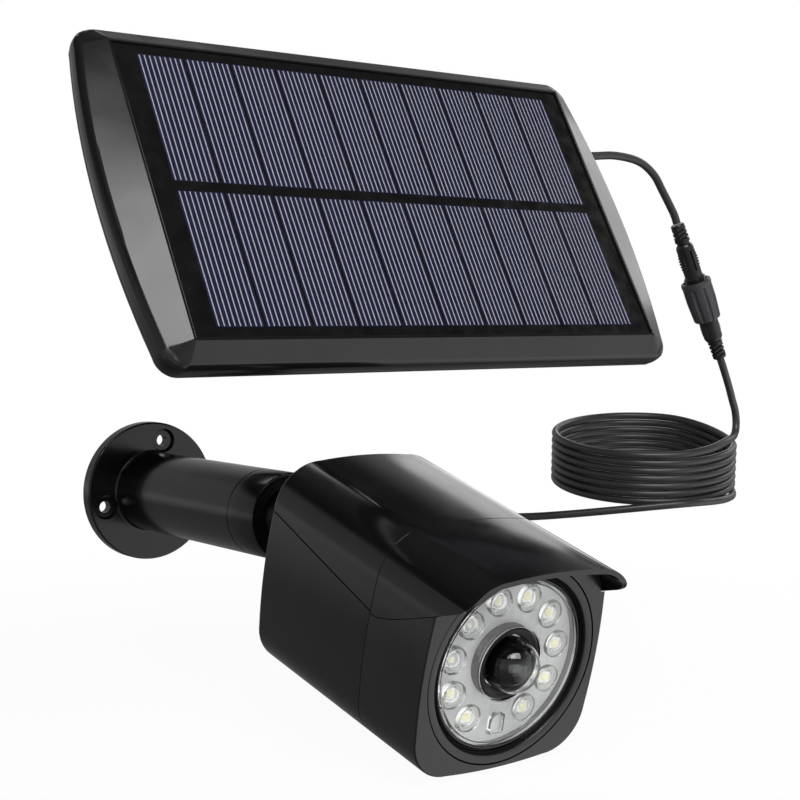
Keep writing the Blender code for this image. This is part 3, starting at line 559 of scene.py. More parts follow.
def plastic(name, colour, roughness, smudge=0.05, grain=1600.0, depth=0.00001, wear=0.25, specular=0.5):
    """Moulded plastic: a little uneven in colour and gloss, with a fine skin and rubbed edges."""
    material, tree, shader = new_material(name, colour, roughness, specular=specular)
    body = mix(tree, ramp(tree, noise(tree, 38.0, 4.0), 0.0, 1.0), tinted(colour, 0.85), tinted(colour, 1.2))
    rubbed = tinted(colour, 1.5, 0.03 * wear)
    worn = edge_wear(tree)
    handled = ramp(tree, noise(tree, 55.0, 5.0), roughness - smudge, roughness + smudge)
    feed(tree, shader,
         Base_Color=mix(tree, arithmetic(tree, "MULTIPLY", worn, wear), body, rubbed),
         Roughness=arithmetic(tree, "ADD", handled, arithmetic(tree, "MULTIPLY", worn, 0.1 * wear)))
    bump(tree, shader, noise(tree, grain, 2.0), depth)
    return material


def metal(name, colour, roughness):
    """Zinc-plated steel: cloudy plating with fine turning marks."""
    material, tree, shader = new_material(name, colour, roughness, metallic=1.0)
    vary(tree, shader, "Base_Color", noise(tree, 260.0, 5.0), tinted(colour, 0.8), colour)
    vary(tree, shader, "Roughness", noise(tree, 900.0), roughness - 0.08, roughness + 0.1)
    bump(tree, shader, noise(tree, 1500.0, 2.0, (1.0, 6.0, 1.0)), 0.00001)
    return material


def clear(name, tint, roughness=0.02, ior=1.49, haze=0.015):
    """Clear moulding: it lets lamps through to what it covers, and its gloss is a little uneven."""
    material, tree, shader = new_material(name, tint, roughness)
    feed(tree, shader, Transmission_Weight=1.0, IOR=ior)
    vary(tree, shader, "Roughness", noise(tree, 180.0, 4.0), roughness, roughness + haze)
    bump(tree, shader, noise(tree, 60.0, 1.0), 0.00001, 0.15)
    choose(tree, add_node(tree, "LightPath").outputs["Is Shadow Ray"], shader,
           add_node(tree, "BsdfTransparent", Color=tint), "Material Output")
    return material


def rubber(name, colour, roughness):
    """Soft black rubber: a dull bloom over a fine grain."""
    material, tree, shader = new_material(name, colour, roughness, specular=0.45)
    bloom = tinted(colour, 1.6, 0.006)
    vary(tree, shader, "Base_Color", noise(tree, 120.0, 5.0), colour, bloom, 0.4, 0.75)
    vary(tree, shader, "Roughness", noise(tree, 240.0, 4.0), roughness - 0.06, roughness + 0.1)
    bump(tree, shader, noise(tree, 1100.0, 3.0), 0.00002)
    return material


def circuit_board(name):
    """Green solder mask over a grid of tracks."""
    material, tree, shader = new_material(name, (0.01, 0.09, 0.035), 0.35)
    tracks = add_node(tree, "TexBrick", Vector=own_place(tree), Scale=160.0, Color1=(0.008, 0.08, 0.03),
                      Color2=(0.012, 0.10, 0.04), Mortar=(0.03, 0.17, 0.07))
    feed(tree, shader, Base_Color=tracks.outputs["Color"])
    vary(tree, shader, "Roughness", noise(tree, 300.0), 0.28, 0.45)
    bump(tree, shader, tracks.outputs["Fac"], 0.00005, 0.5)
    return material


def solar_cell(name):
    """Blue-black silicon under clear resin: faint crystal patches and banding."""
    material, tree, shader = new_material(name, (0.014, 0.017, 0.052), 0.3, specular=0.3)
    crystals = add_node(tree, "TexVoronoi", Vector=own_place(tree), Scale=240.0)
    patches = ramp(tree, crystals.outputs["Distance"], 0.0, 1.0, 0.1, 0.7)
    grown = mix(tree, patches, (0.008, 0.010, 0.026), (0.012, 0.014, 0.036))
    banded = ramp(tree, noise(tree, 30.0, 3.0, (1.0, 1.0, 0.2)), 0.0, 0.5)
    feed(tree, shader, Base_Color=mix(tree, banded, grown, (0.009, 0.011, 0.033)))
    vary(tree, shader, "Roughness", noise(tree, 140.0, 4.0), 0.16, 0.26)
    return material


def resin_black(name, colour, roughness):
    """The dark backing that shows between the cells, under the same resin."""
    material, tree, shader = new_material(name, colour, roughness, specular=0.25)
    vary(tree, shader, "Base_Color", noise(tree, 60.0, 4.0), colour, tinted(colour, 1.5))
    vary(tree, shader, "Roughness", noise(tree, 140.0, 4.0), roughness - 0.05, roughness + 0.08)
    return material


def printed_silver(name, colour):
    """Silver paste printed on the cells and seen through resin: grainy and a little dull."""
    material, tree, shader = new_material(name, colour, 0.5, specular=0.3)
    vary(tree, shader, "Base_Color", noise(tree, 1400.0), tinted(colour, 0.8), tinted(colour, 1.15))
    vary(tree, shader, "Roughness", noise(tree, 300.0), 0.42, 0.58)
    return material


def battery_film(name):
    """Blue shrink film, creased along the cell."""
    material, tree, shader = new_material(name, (0.03, 0.16, 0.36), 0.3)
    creases = noise(tree, 220.0, 3.0, (1.0, 0.15, 1.0))
    vary(tree, shader, "Base_Color", creases, (0.025, 0.13, 0.30), (0.04, 0.19, 0.42))
    vary(tree, shader, "Roughness", creases, 0.2, 0.4)
    bump(tree, shader, creases, 0.00006)
    return material


MATERIALS = {
    "bracket_plastic": plastic("bracket plastic", (0.004, 0.004, 0.0042), 0.16, 0.03, 1500.0, 0.000004),
    "shell_plastic": plastic("shell plastic", (0.004, 0.004, 0.0042), 0.13, 0.03, 1500.0, 0.000003),
    "face_plastic": plastic("face plastic", (0.007, 0.007, 0.0072), 0.26, 0.04, 2400.0, 0.000006),
    "seat_plastic": plastic("seat nylon", (0.012, 0.012, 0.012), 0.42, 0.06, 1200.0, 0.00002),
    "steel": metal("zinc-plated steel", (0.55, 0.55, 0.56), 0.3),
    "rubber": rubber("soft rubber", (0.008, 0.008, 0.008), 0.55),
    "window_glass": clear("window polycarbonate", (0.97, 0.98, 0.98)),
    "led_glass": clear("lens acrylic", (0.98, 0.98, 0.97), 0.03, 1.45, 0.03),
    "led_plate": plastic("white board mask", (0.36, 0.36, 0.355), 0.3, 0.06, 900.0, 0.00002, 0.0),
    "camera_black": plastic("polished black", (0.002, 0.002, 0.002), 0.09, 0.03, 800.0, 0.000003, 0.1, 0.5),
    "circuit_board": circuit_board("circuit board"),
    "battery_wrap": battery_film("battery film"),
    "inner_plastic": plastic("inner plastic", (0.02, 0.02, 0.02), 0.5, 0.06, 1200.0, 0.00002),
    "panel_plastic": plastic("panel frame plastic", (0.006, 0.006, 0.0062), 0.2, 0.03, 1500.0, 0.000004),
    "panel_back_plastic": plastic("panel back plastic", (0.018, 0.018, 0.019), 0.42, 0.06, 1900.0, 0.00003),
    "solar_cells": solar_cell("solar cell"),
    "connector_plastic": plastic("connector plastic", (0.010, 0.010, 0.0105), 0.27, 0.04, 2600.0, 0.00001),
    "nut_plastic": plastic("coupling nut plastic", (0.036, 0.034, 0.038), 0.30, 0.04, 2600.0, 0.00001),
    "cable_jacket": plastic("cable jacket", (0.022, 0.022, 0.022), 0.38, 0.03, 1200.0, 0.000003, 0.0, 0.6),
}
BACKING = resin_black("cell backing", (0.004, 0.004, 0.0042), 0.2)
SILVER = printed_silver("printed silver", (0.31, 0.31, 0.35))
PHOSPHOR = plastic("yellow phosphor", (0.62, 0.58, 0.34), 0.5, 0.05, 2000.0, 0.00003, 0.0)
DARK_STEEL = metal("black oxide steel", (0.03, 0.03, 0.031), 0.35)
BARREL_BLACK = plastic("matt black barrel", (0.004, 0.004, 0.004), 0.38, 0.05, 1800.0, 0.00001, 0.1, 0.25)
DOME_CLEAR = clear("dome polycarbonate", (0.97, 0.98, 0.98), 0.02, 1.3)
CERAMIC = plastic("white ceramic", (0.75, 0.75, 0.73), 0.4, 0.05, 2000.0, 0.00002, 0.0)


# -------------------------------------------------------------- camera, cords
def make_camera():
    """The camera: a level view from the front left, at the height of the object."""
    camera = bpy.data.cameras.new("camera")
    camera.lens = 68.7
    camera.sensor_width = 36.0
    camera.clip_start = 0.01
    eye = add_object("camera", camera)
    eye.location = (-0.36877, -0.69969, 0.08986)
    eye.rotation_euler = Euler((math.radians(90.0 - 3.219), 0.0, math.radians(-37.302)))
    bpy.context.scene.camera = eye


def coil_point(degrees, out=0.0, up=0.0):
    """A point of the coil: the turns lie level, and each steps down to the next behind."""
    lap, turn = divmod(degrees, 360.0)
    share = min(max((turn - 290.0) / 65.0, 0.0), 1.0)
    height = COIL_PITCH * ((COIL_TURNS - 1) / 2 - lap - share * share * (3 - 2 * share)) + up
    angle = math.radians(degrees)
    reach = COIL_RADIUS + out
    return COIL @ Vector((reach * math.cos(angle), height, reach * math.sin(angle)))


def lead_curve(name, route):
    """A round lead as a curve along a route."""
    curve = bpy.data.curves.new(name, "CURVE")
    curve.dimensions = "3D"
    curve.bevel_depth = LEAD_DIAMETER / 2
    curve.bevel_resolution = 5
    curve.use_fill_caps = True
    spline = curve.splines.new("POLY")
    spline.points.add(len(route) - 1)
    for point, place in zip(spline.points, route):
        point.co = (*place, 1.0)
    spline.use_smooth = True
    return add_object(name, curve)


def make_camera_lead():
    """The camera's own lead: from the grommet, along to the coil, round it and up to the socket."""
    along = (SOCKET_END - PLUG_TOP).normalized()
    last_lap = 360.0 * COIL_TURNS
    knots = [Vector(point) for point in reversed(TAIL_LEAD)]
    leaving = ((80.0, 0.0080, 0.0048), (52.0, 0.0046, 0.0028), (36.0, 0.0031, 0.0012), (24.0, 0.0018, 0.0004))
    knots += [coil_point(last_lap + turn, out, up) for turn, out, up in leaving]
    degrees = last_lap + 10.0
    while degrees > 76.0:
        knots.append(coil_point(degrees))
        degrees -= 12.0
    knots += [coil_point(turn, 0.0, up) for turn, up in ((70.0, 0.0004), (54.0, 0.0014), (39.0, 0.0028))]
    knots += [Vector(point) for point in reversed(FEED_LEAD)]
    knots += [SOCKET_END + along * LEAD_RUN_IN, SOCKET_END + along * GAP]
    route = smooth_route(knots, 0.0025)
    lead = lead_curve("camera_lead", route)
    put(lead, "bracket", "cable_jacket", ("feed_lead", "cable_coil", "tail_lead"))


def make_panel_lead():
    """The panel's lead: from the gland on its back, over and down into the plug."""
    along = (SOCKET_END - PLUG_TOP).normalized()
    route = smooth_route([*PANEL_LEAD, PLUG_TOP - along * LEAD_RUN_IN, PLUG_TOP - along * GAP], 0.002)
    drawn = lead_curve("lead_line", route)
    mesh = final_mesh(drawn)
    bpy.data.objects.remove(drawn, do_unlink=True)
    lead = add_object("panel_lead_tube", mesh)
    paint(lead, MATERIALS["cable_jacket"])
    mesh.shade_smooth()
    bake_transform(lead)
    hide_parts("panel_lead")


def strain_relief(name, start, end, radius, tip):
    """A ribbed sleeve whose slots cross over from side to side."""
    length = end - start
    sleeve = turned(name, [(0.0, start), (tip - 0.0004, start), (tip, start + math.copysign(0.0005, length)),
                           (radius, end), (0.0, end)], 48)
    half_slot = 0.0007
    half_width = 0.0031
    core = tip - 0.0014
    outside = 0.006
    slots = []
    for index in range(3):
        middle = start + length * (0.26 + 0.24 * index)
        shifted = middle + length * 0.12
        for side in (-1, 1):
            slots.append(box("slot", (side * core, middle - half_slot, -half_width),
                             (side * outside, middle + half_slot, half_width)))
            slots.append(box("slot", (-half_width, shifted - half_slot, side * core),
                             (half_width, shifted + half_slot, side * outside)))
    return cut(sleeve, *slots)


def grip_pads(name, radius, start, end, half_width):
    """Two oval pads on opposite sides, each with ribs across it."""
    count = 7
    pitch = (end - start) / count
    half_rib = pitch * 0.27
    pads = []
    for side in (-1, 1):
        for index in range(count):
            middle = start + pitch * (index + 0.5)
            share = 2 * (index + 0.5) / count - 1
            reach = half_width * math.sqrt(1 - 0.75 * share * share)
            pads.append(box(name, (-reach, middle - half_rib, side * (radius - 0.001)),
                            (reach, middle + half_rib, side * (radius + 0.0004))))
    return pads


def make_connector():
    """Plug, socket and the nut that couples them, along one line."""
    plug = turned("plug", [
        (0.0, 0.0100), (0.0034, 0.0100), (0.0034, 0.0115), (0.0042, 0.0122), (0.0047, 0.0134),
        (0.0048, 0.0300),
        (0.0052, 0.0303), *[(0.0052 + 0.0007 * (step % 2), 0.0306 + 0.0006 * step) for step in range(24)],
        (0.0050, 0.0448), (0.0, 0.0448),
    ], 64, sharp=25.0)
    pads = grip_pads("pad", 0.0046, 0.0160, 0.0270, 0.0022)
    fins = [box("fin", (side * 0.0030, 0.0155, -0.0011), (side * 0.0060, 0.0265, 0.0011)) for side in (-1, 1)]
    join(plug, strain_relief("relief", 0.0003, 0.0101, 0.0041, 0.0037), *pads, *fins)
    soften(plug, 0.00018, 2)
    put(plug, "bracket", "connector_plastic", "plug_body", CONNECTOR)

    length = (SOCKET_END - PLUG_TOP).length
    socket = turned("socket", [
        (0.0, 0.0450), (0.0056, 0.0450), (0.0056, 0.0545), (0.0052, 0.0558), (0.0050, 0.0660),
        (0.0043, 0.0674), (0.0034, 0.0680), (0.0034, 0.0686), (0.0, 0.0686),
    ], 64)
    ribbed = grip_pads("pad", 0.0048, 0.0565, 0.0650, 0.0022)
    join(socket, strain_relief("relief", length - GAP, 0.0685, 0.0040, 0.0036), *ribbed)
    soften(socket, 0.00018, 2)
    put(socket, "bracket", "connector_plastic", "socket_body", CONNECTOR)
    return plug, socket, make_coupling_nut()


def make_coupling_nut():
    """A tapered sleeve with broad grips along it and an open mouth."""
    nut = turned("grip_nut", [
        (0.0066, 0.0328), (0.0076, 0.0328), (0.0080, 0.0331), (0.0082, 0.0340), (0.0082, 0.0350),
        (0.0080, 0.0356), (0.0080, 0.0440), (0.0073, 0.0546), (0.0068, 0.0554), (0.0058, 0.0555),
        (0.0058, 0.0500), (0.0066, 0.0490),
    ], 96)
    count = 9
    grooves = []
    for index in range(count):
        angle = math.tau * (index + 0.5) / count
        grooves.append(loft("groove", [
            circle(0.0016, y, (reach * math.cos(angle), reach * math.sin(angle)), 16)
            for reach, y in ((0.0090, 0.0364), (0.0081, 0.0560))]))
    cut(nut, *grooves)
    soften(nut, 0.0002, 2)
    return put(nut, "coupling_nut", "nut_plastic", "coupling_nut", CONNECTOR)


# ------------------------------------------------------ bracket and ball joint
def make_bracket():
    """Wall bracket: round flange with sunk screw holes, and a tube with a small root fillet."""
    edge = 0.0010
    fillet = 0.0012
    outer = FLANGE_RADIUS
    front = -FLANGE_THICKNESS
    bracket = turned("bracket", [
        (0.0, 0.0), (outer - 0.0006, 0.0), (outer, -0.0006),
        *[(outer - edge + edge * math.cos(turn), front + edge - edge * math.sin(turn))
          for turn in sweep(18, 6)],
        *[(TUBE_RADIUS + fillet - fillet * math.sin(turn), front - fillet + fillet * math.cos(turn))
          for turn in sweep(18, 6)],
        (TUBE_RADIUS, TUBE_END + 0.0004), (TUBE_RADIUS - 0.0004, TUBE_END), (SPIGOT_RADIUS, TUBE_END),
        (SPIGOT_RADIUS, SPIGOT_END), (SEAT_BORE, SPIGOT_END), (SEAT_BORE, SEAT_LEDGE),
        (CABLE_BORE, SEAT_LEDGE), (CABLE_BORE, BORE_FLOOR), (0.0, BORE_FLOOR),
    ], 128)
    tools = []
    for degrees in WALL_SCREW_ANGLES:
        angle = math.radians(degrees)
        centre = (WALL_SCREW_CIRCLE * math.cos(angle), WALL_SCREW_CIRCLE * math.sin(angle))
        hole = [(0.0, 0.002), (WALL_SCREW_HOLE, 0.002), (WALL_SCREW_HOLE, WALL_SCREW_SEAT),
                (WALL_SCREW_HEAD, WALL_SCREW_SEAT), (WALL_SCREW_MOUTH, -FLANGE_THICKNESS),
                (WALL_SCREW_MOUTH, -0.012), (0.0, -0.012)]
        tools.append(turned("screw_hole", hole, 48, centre))
    cut(bracket, *tools, across(cylinder("grommet_hole", 0.0045, 0.010, 0.030), GROMMET_Y))
    soften(bracket, 0.00025, 2, 50.0)
    put(bracket, "bracket", "bracket_plastic", "wall_bracket")

    grommet = turned("grommet", [
        (0.0023, 0.0125), (0.0042, 0.0125), (0.0042, 0.0202), (0.0060, 0.0202), (0.0063, 0.0207),
        (0.0062, 0.0216), (0.0057, 0.0222), (0.0046, 0.0226), (0.0041, 0.0236), (0.0037, 0.0256),
        (0.0032, 0.0262), (0.0023, 0.0262),
    ], 48)
    put(across(grommet, GROMMET_Y), "bracket", "rubber", "tube_grommet")


def make_ball_joint():
    """Lock ring, the nylon seat inside it, and the steel ball stud."""
    centre = BALL_CENTRE.y
    inner = BALL_RADIUS + GAP
    lip = arc(inner, 92, 110, 8, centre)
    ring = turned("collar", [
        (TUBE_RADIUS - 0.0004, TUBE_END - SEAM), (TUBE_RADIUS, TUBE_END - SEAM - 0.0004),
        *offsets(TUBE_RADIUS, COLLAR_END, (0.0, 0.0010), (-0.0003, 0.0003), (-0.0009, 0.0), (-0.0018, 0.0),
                 (-0.0022, 0.0004)), *reversed(lip),
        (SEAT_BORE + GAP, lip[0][1] + 0.0006), (SEAT_BORE + GAP, SPIGOT_END - GAP),
        (SPIGOT_RADIUS + GAP, SPIGOT_END - GAP), (SPIGOT_RADIUS + GAP, TUBE_END - SEAM),
    ], 128)
    put(ring, "lock_ring", "bracket_plastic", "lock_ring")

    seat = turned("socket_cup", [
        (0.0045, SEAT_LEDGE - GAP), (SEAT_BORE - GAP, SEAT_LEDGE - GAP), (SEAT_BORE - GAP, centre + 0.0004),
        *arc(inner, 88, 20, 14, centre), (0.0045, centre + inner * math.cos(math.radians(20))),
    ], 64)
    put(seat, "ball_seat", "seat_plastic", "ball_seat")

    neck_angle = math.degrees(math.asin(NECK_RADIUS / BALL_RADIUS))
    threads = [(STUD_SHANK - 0.0004 * (step % 2), -0.0552 - 0.0004 * step) for step in range(26)]
    stud = turned("stud", [
        *arc(BALL_RADIUS, 0, 180 - neck_angle, 24, -SET_BACK), (NECK_RADIUS, BOSS_START + GAP),
        (STUD_SHANK, BOSS_START + GAP), *threads, (STUD_SHANK - 0.0010, -0.0660), (0.0, -0.0660),
    ], 64, sharp=50.0)
    put(stud, "ball_stud", "steel", "ball_stud", HOUSING, DARK_STEEL)


# ------------------------------------------------------------- camera housing
def seam_cut(name, offset, reach):
    """Everything between the cover's seam, moved by an offset, and a height past the housing."""
    points = [(y, z + offset) for y, z in COVER_SEAM]
    points += [(COVER_SEAM[1][0], reach), (COVER_SEAM[0][0], reach)]
    return side_cut(name, points)


def rear_loft(name):
    """The rear half of the housing before it is divided: open in front, walled and rounded behind."""
    end = PARTING + SEAM
    edge = 0.0014
    corner = [section(edge * (1 - math.cos(turn)), REAR - edge * (1 - math.sin(turn)))
              for turn in sweep(15, 7)]
    inside = REAR - 0.0028
    return loft(name, [section(WALL, inside), section(WALL, end), section(0.0, end), *corner], sharp=40.0)


def make_rear_body():
    """Rear shell with the boss of the ball stud, and the cover that closes it from above."""
    cover = cut(rear_loft("cover_shell"), seam_cut("below", SEAM, -PAST), sharp=40.0)
    soften(cover, 0.00018, 2, 50.0)
    put_in_housing(cover, "shell_plastic", "top_cover")

    root = REAR - 0.0015
    flare = [(BOSS_RADII[0] + (BOSS_RADII[1] - BOSS_RADII[0]) * share ** 2,
              BOSS_START + (REAR - BOSS_START) * share) for share in (step / 12 for step in range(13))]
    boss = turned("boss", [(0.0, BOSS_START), (BOSS_RADII[0] - 0.0008, BOSS_START), *flare[1:],
                           (BOSS_RADII[1], root), (0.0, root)], 96)
    shell = join(rear_loft("lower_shell"), boss, sharp=40.0)
    button_hole = cylinder("button_hole", BUTTON_RADIUS + GAP, -0.05, -0.038)
    button_hole.data.transform(Matrix.Translation((0, BUTTON_Y, 0)) @ Matrix.Rotation(math.pi / 2, 4, "X"))
    bore = cylinder("bore", STUD_SHANK + GAP, -0.02, -0.06)
    cut(shell, seam_cut("above", -SEAM, PAST), bore, button_hole, sharp=40.0)
    soften(shell, 0.00018, 2, 50.0)
    put_in_housing(shell, "shell_plastic", "rear_shell")


def make_front_body():
    """Front shell with its round opening, and the visor that wraps over it."""
    start = PARTING - SEAM
    edge = 0.0007
    rim = [section(edge * (1 - math.cos(turn)), FACE + edge * (1 - math.sin(turn)))
           for turn in sweep(22.5, 5)]
    wall = 0.0044
    front = loft("front", [section(wall, -0.1500), section(wall, start), section(0.0, start), *rim],
                 sharp=40.0)
    opening = cylinder("opening", BEZEL_RADIUS + GAP, -0.1497, -0.17, 128, OPTIC)
    line = smooth_line(VISOR_EDGE, 0.0015)
    rebate = side_cut("rebate", [(y, z - SEAM) for y, z in line] + [(-0.173, PAST), (-0.120, PAST)])
    core = loft("core", [section(VISOR_SHEET + GAP, y) for y in (-0.11, -0.18)])
    cut(rebate, core)
    cut(front, opening, rebate, sharp=40.0)
    soften(front, 0.0002, 2, 50.0)
    put_in_housing(front, "face_plastic", "front_shell")

    visor = loft("brow", [section(0.0, y) for y in (start, VISOR_TIP - 0.005)], sharp=40.0)
    hollow = loft("hollow", [section(VISOR_SHEET, y) for y in (-0.11, -0.21)])
    lower = [(y, z + SEAM) for y, z in line]
    under = side_cut("under", lower + [(-0.173, -PAST), (-0.120, -PAST)])
    brow = smooth_line([lower[-1], *VISOR_BROW, (VISOR_TIP, 0.0362)], 0.0008)
    nose = side_cut("nose", brow + [(VISOR_TIP, PAST), (-0.22, PAST), (-0.22, -PAST), (lower[-1][0], -PAST)])
    cut(visor, hollow, under, nose, sharp=40.0)
    soften(visor, 0.0005, 3, 50.0)
    put_in_housing(visor, "shell_plastic", "visor")


def put_on_axis(name, slot, replaces, profile, segments=128, material=None):
    """A piece of the housing turned about its optical axis."""
    put_in_housing(turned(name, profile, segments, OPTIC), slot, replaces, material)


def make_front_ring():
    """Flat bezel inside the face's seam, the black groove, and the ring that holds the window."""
    put_on_axis("bezel", "face_plastic", "bezel_ring", [
        *offsets(BEZEL_RADIUS, FACE, (0.0, 0.0005), (-0.0003, 0.0002), (-0.0007, 0.0002)),
        *offsets(GROOVE_RADIUS, FACE, (0.0014, 0.0003), (0.0009, 0.0005), (0.0006, 0.0010), (0.0005, 0.0026),
                 (0.0003, 0.0028)),
        (GROOVE_RADIUS + 0.0003, -0.1512), (BEZEL_RADIUS, -0.1512),
    ], 160)
    put_on_axis("gasket", "rubber", "window_seal", [
        (GROOVE_RADIUS + 0.0001, FACE + 0.0034), (GROOVE_RADIUS + 0.0001, -0.1540),
        (GROOVE_RADIUS - 0.0006, -0.1540),
        *offsets(GROOVE_RADIUS, FACE, (-0.0006, 0.0034), (-0.0002, 0.0031)),
    ], 160)
    put_on_axis("window_ring", "face_plastic", (), [
        *offsets(GROOVE_RADIUS, FACE, (-0.0008, 0.0026), (-0.0011, 0.0022)),
        *offsets(WINDOW_RADIUS, FACE, (0.0003, 0.0018), (-0.0001, 0.0019), (-0.0003, 0.0024)),
        (WINDOW_RADIUS - 0.0003, -0.1535), (GROOVE_RADIUS - 0.0008, -0.1535),
    ], 160)


# ---------------------------------------------------------- window, LEDs, eye
def led_places():
    """(x, z) of each LED: eleven even slots, the lowest one left to the photocell."""
    places = []
    for index in range(LED_COUNT):
        angle = math.tau * (index + 1) / LED_SLOTS - math.pi / 2
        places.append((OPTIC[0] + LED_CIRCLE * math.cos(angle), OPTIC[1] + LED_CIRCLE * math.sin(angle)))
    return places


def make_window():
    """Clear cover shaped like a shallow dish: a disc with a hole and a wall round its edge."""
    outer = WINDOW_RADIUS - 0.0006
    put_on_axis("window_dish", "window_glass", "window", [
        *offsets(outer, WINDOW_FRONT, (-0.0006, 0.0001), (-0.0002, 0.0003), (0.0, 0.0008)),
        *offsets(outer, LED_PLANE, (0.0, -0.0003), (-0.0012, -0.0003)),
        *offsets(outer, WINDOW_FRONT, (-0.0012, 0.0022), (-0.0016, 0.0017)),
        *offsets(BARREL_RADIUS, WINDOW_FRONT, (GAP, 0.0017), (GAP, 0.0004), (0.0007, 0.0)),
    ])


def make_led_board():
    """White masked board, and on each place a ceramic package, its spot of phosphor and its lens."""
    put_on_axis("led_disc", "led_plate", "led_board", [
        *offsets(WINDOW_RADIUS, LED_PLANE, (-0.0008, 0.0001), (-0.0008, 0.0016)),
        *offsets(BARREL_RADIUS, LED_PLANE, (GAP, 0.0016), (GAP, 0.0)), (WINDOW_RADIUS - 0.0009, LED_PLANE),
    ])
    package = 0.0017
    for number, (x, z) in enumerate(led_places(), start=1):
        chip = box(f"led_package_{number:02d}", (x - package, LED_PLANE - 0.00055, z - package),
                   (x + package, LED_PLANE - 0.0001, z + package))
        soften(chip, 0.00015, 2)
        put_in_housing(chip, "led_plate", (), CERAMIC)
        profile = offsets(0.0, LED_PLANE, (0.0, -0.00078), (0.0007, -0.00076), (0.0012, -0.00068),
                          (0.00135, -0.0006), (0.0, -0.0006))
        spot = turned(f"led_phosphor_{number:02d}", profile, 32, (x, z))
        put_in_housing(spot, "led_plate", (), PHOSPHOR)
        make_led_lens(number, (x, z))


def make_led_lens(number, place):
    """A moulded lens: a flat skirt with a rim and a crowned middle over a hollow."""
    crown = 0.0037
    dome = [(crown * math.sin(turn), LED_PLANE - 0.0017 - 0.0016 * math.cos(turn))
            for turn in sweep(-9, 10, 90)]
    hollow = [(0.0025 * math.sin(turn), LED_PLANE - 0.0006 - 0.0007 * math.cos(turn))
              for turn in sweep(10, 10)]
    lens = turned(f"lens_{number:02d}", [
        *[point for point in hollow if point[0] > 0.0001], (0.0048, LED_PLANE - 0.0004),
        *offsets(LED_LENS_RADIUS, LED_PLANE, (0.0, -0.0008), (0.0, -0.0021), (-0.0002, -0.0024),
                 (-0.0006, -0.0022)),
        (crown + 0.0004, LED_PLANE - 0.0016), *dome, (0.0, LED_PLANE - 0.0033), (0.0, LED_PLANE - 0.0013),
    ], 48, place, sharp=40.0)
    put_in_housing(lens, "led_glass", f"led_lens_{number:02d}")


def make_photocell():
    """Clear arched cover over the photocell, and at its right side a thin black plate: painted shade for the
    dark slit there.
    """
    middle = OPTIC[1] - LED_CIRCLE
    half = 0.0028
    foot = middle - 0.0042
    spring = middle + 0.0010
    outline = [(-half, foot), (half, foot)]
    outline += [(half * math.cos(turn), spring + half * math.sin(turn)) for turn in sweep(15, 13)]
    ends = (LED_PLANE - GAP, LED_PLANE - 0.0030)
    cover = loft("photocell_window", [[(x, y, z) for x, z in outline] for y in ends])
    soften(cover, 0.0003, 3)
    put_in_housing(cover, "led_glass", "photocell_cover")
    # Painted shade: the box named photocell is a thin black plate beside the cover, drawn for the dark slit
    # there.
    cell = box("photocell", (half + 0.0003, LED_PLANE - 0.0026, middle - 0.0036),
               (half + 0.0009, LED_PLANE - 0.0001, middle + 0.0030))
    soften(cell, 0.0001, 2)
    put_in_housing(cell, "camera_black")


def make_eye():
    """Stepped black barrel, the glossy eye in it, and the clear dome over the eye."""
    put_on_axis("barrel", "camera_black", "lens_barrel", [
        (BARREL_RADIUS, -0.1584), (BARREL_RADIUS, -0.1480), (0.0090, -0.1480), (0.0090, -0.1500),
        (DOME_RADIUS + GAP, -0.1500), (DOME_RADIUS + GAP, -0.1568), (0.0114, -0.1572), (0.0114, -0.1582),
        (0.0124, -0.1585), (0.0124, -0.1589), (0.0132, -0.1592), (0.0138, -0.1591),
    ], 96, BARREL_BLACK)
    inner = DOME_RADIUS - 0.0007
    put_on_axis("dome", "window_glass", "lens_dome", [
        (DOME_RADIUS, -0.1560), *arc(DOME_RADIUS, 90, 180, 28, DOME_CENTRE),
        *reversed(arc(inner, 90, 180, 28, DOME_CENTRE)), (inner, -0.1560),
    ], 96, DOME_CLEAR)
    put_on_axis("eye", "camera_black", "camera_lens", [
        (0.0, -0.1450), (0.0070, -0.1450), (0.0070, -0.1535), *arc(EYE_RADIUS, 70, 180, 28, EYE_CENTRE),
    ], 96)


# ---------------------------------------------------------------- fasteners
def make_screw(name, face, tip, place, body, at, node):
    """A pan head screw with a cross recess, and threads to its point."""
    head = 0.0030
    rim = face + 0.0009
    crown = [(head * math.sin(turn), rim + 0.0011 * math.cos(turn)) for turn in sweep(9, 11)]
    count = 9
    pitch = (face - tip - 0.0012) / (2 * count)
    shank = 0.0015
    threads = [(shank - 0.00035 * (step % 2), face - 0.0004 - pitch * step) for step in range(2 * count)]
    screw = turned(name, [*crown, (head, face + GAP), (shank, face + GAP), *threads, (0.0, tip)],
                   40, place, 50.0)
    x, z = place
    slots = [box("slot", (x - half_x, rim, z - half_z), (x + half_x, face + 0.004, z + half_z))
             for half_x, half_z in ((0.0016, 0.00035), (0.00035, 0.0016))]
    cut(screw, *slots, sharp=40.0)
    return put(screw, body, "steel", node, at)


def make_fasteners():
    """The four housing screws and the four panel screws."""
    rows = (("shell", "housing", HOUSING, REAR, REAR - 0.0090, HOUSING_SCREW_X, HOUSING_SCREW_Z),
            ("back", "panel", PANEL, PANEL_BACK, 0.0074, WINDOW_HALF[0] + 0.0045,
             (-PANEL_SCREW_Z, PANEL_SCREW_Z)))
    for name, body, at, face, tip, reach, heights in rows:
        corners = [(side * reach, z) for z in heights for side in (-1, 1)]
        for number, place in enumerate(corners, start=1):
            make_screw(f"{name}_screw_{number}", face, tip, place, body, at, f"{body}_screw_{number}")


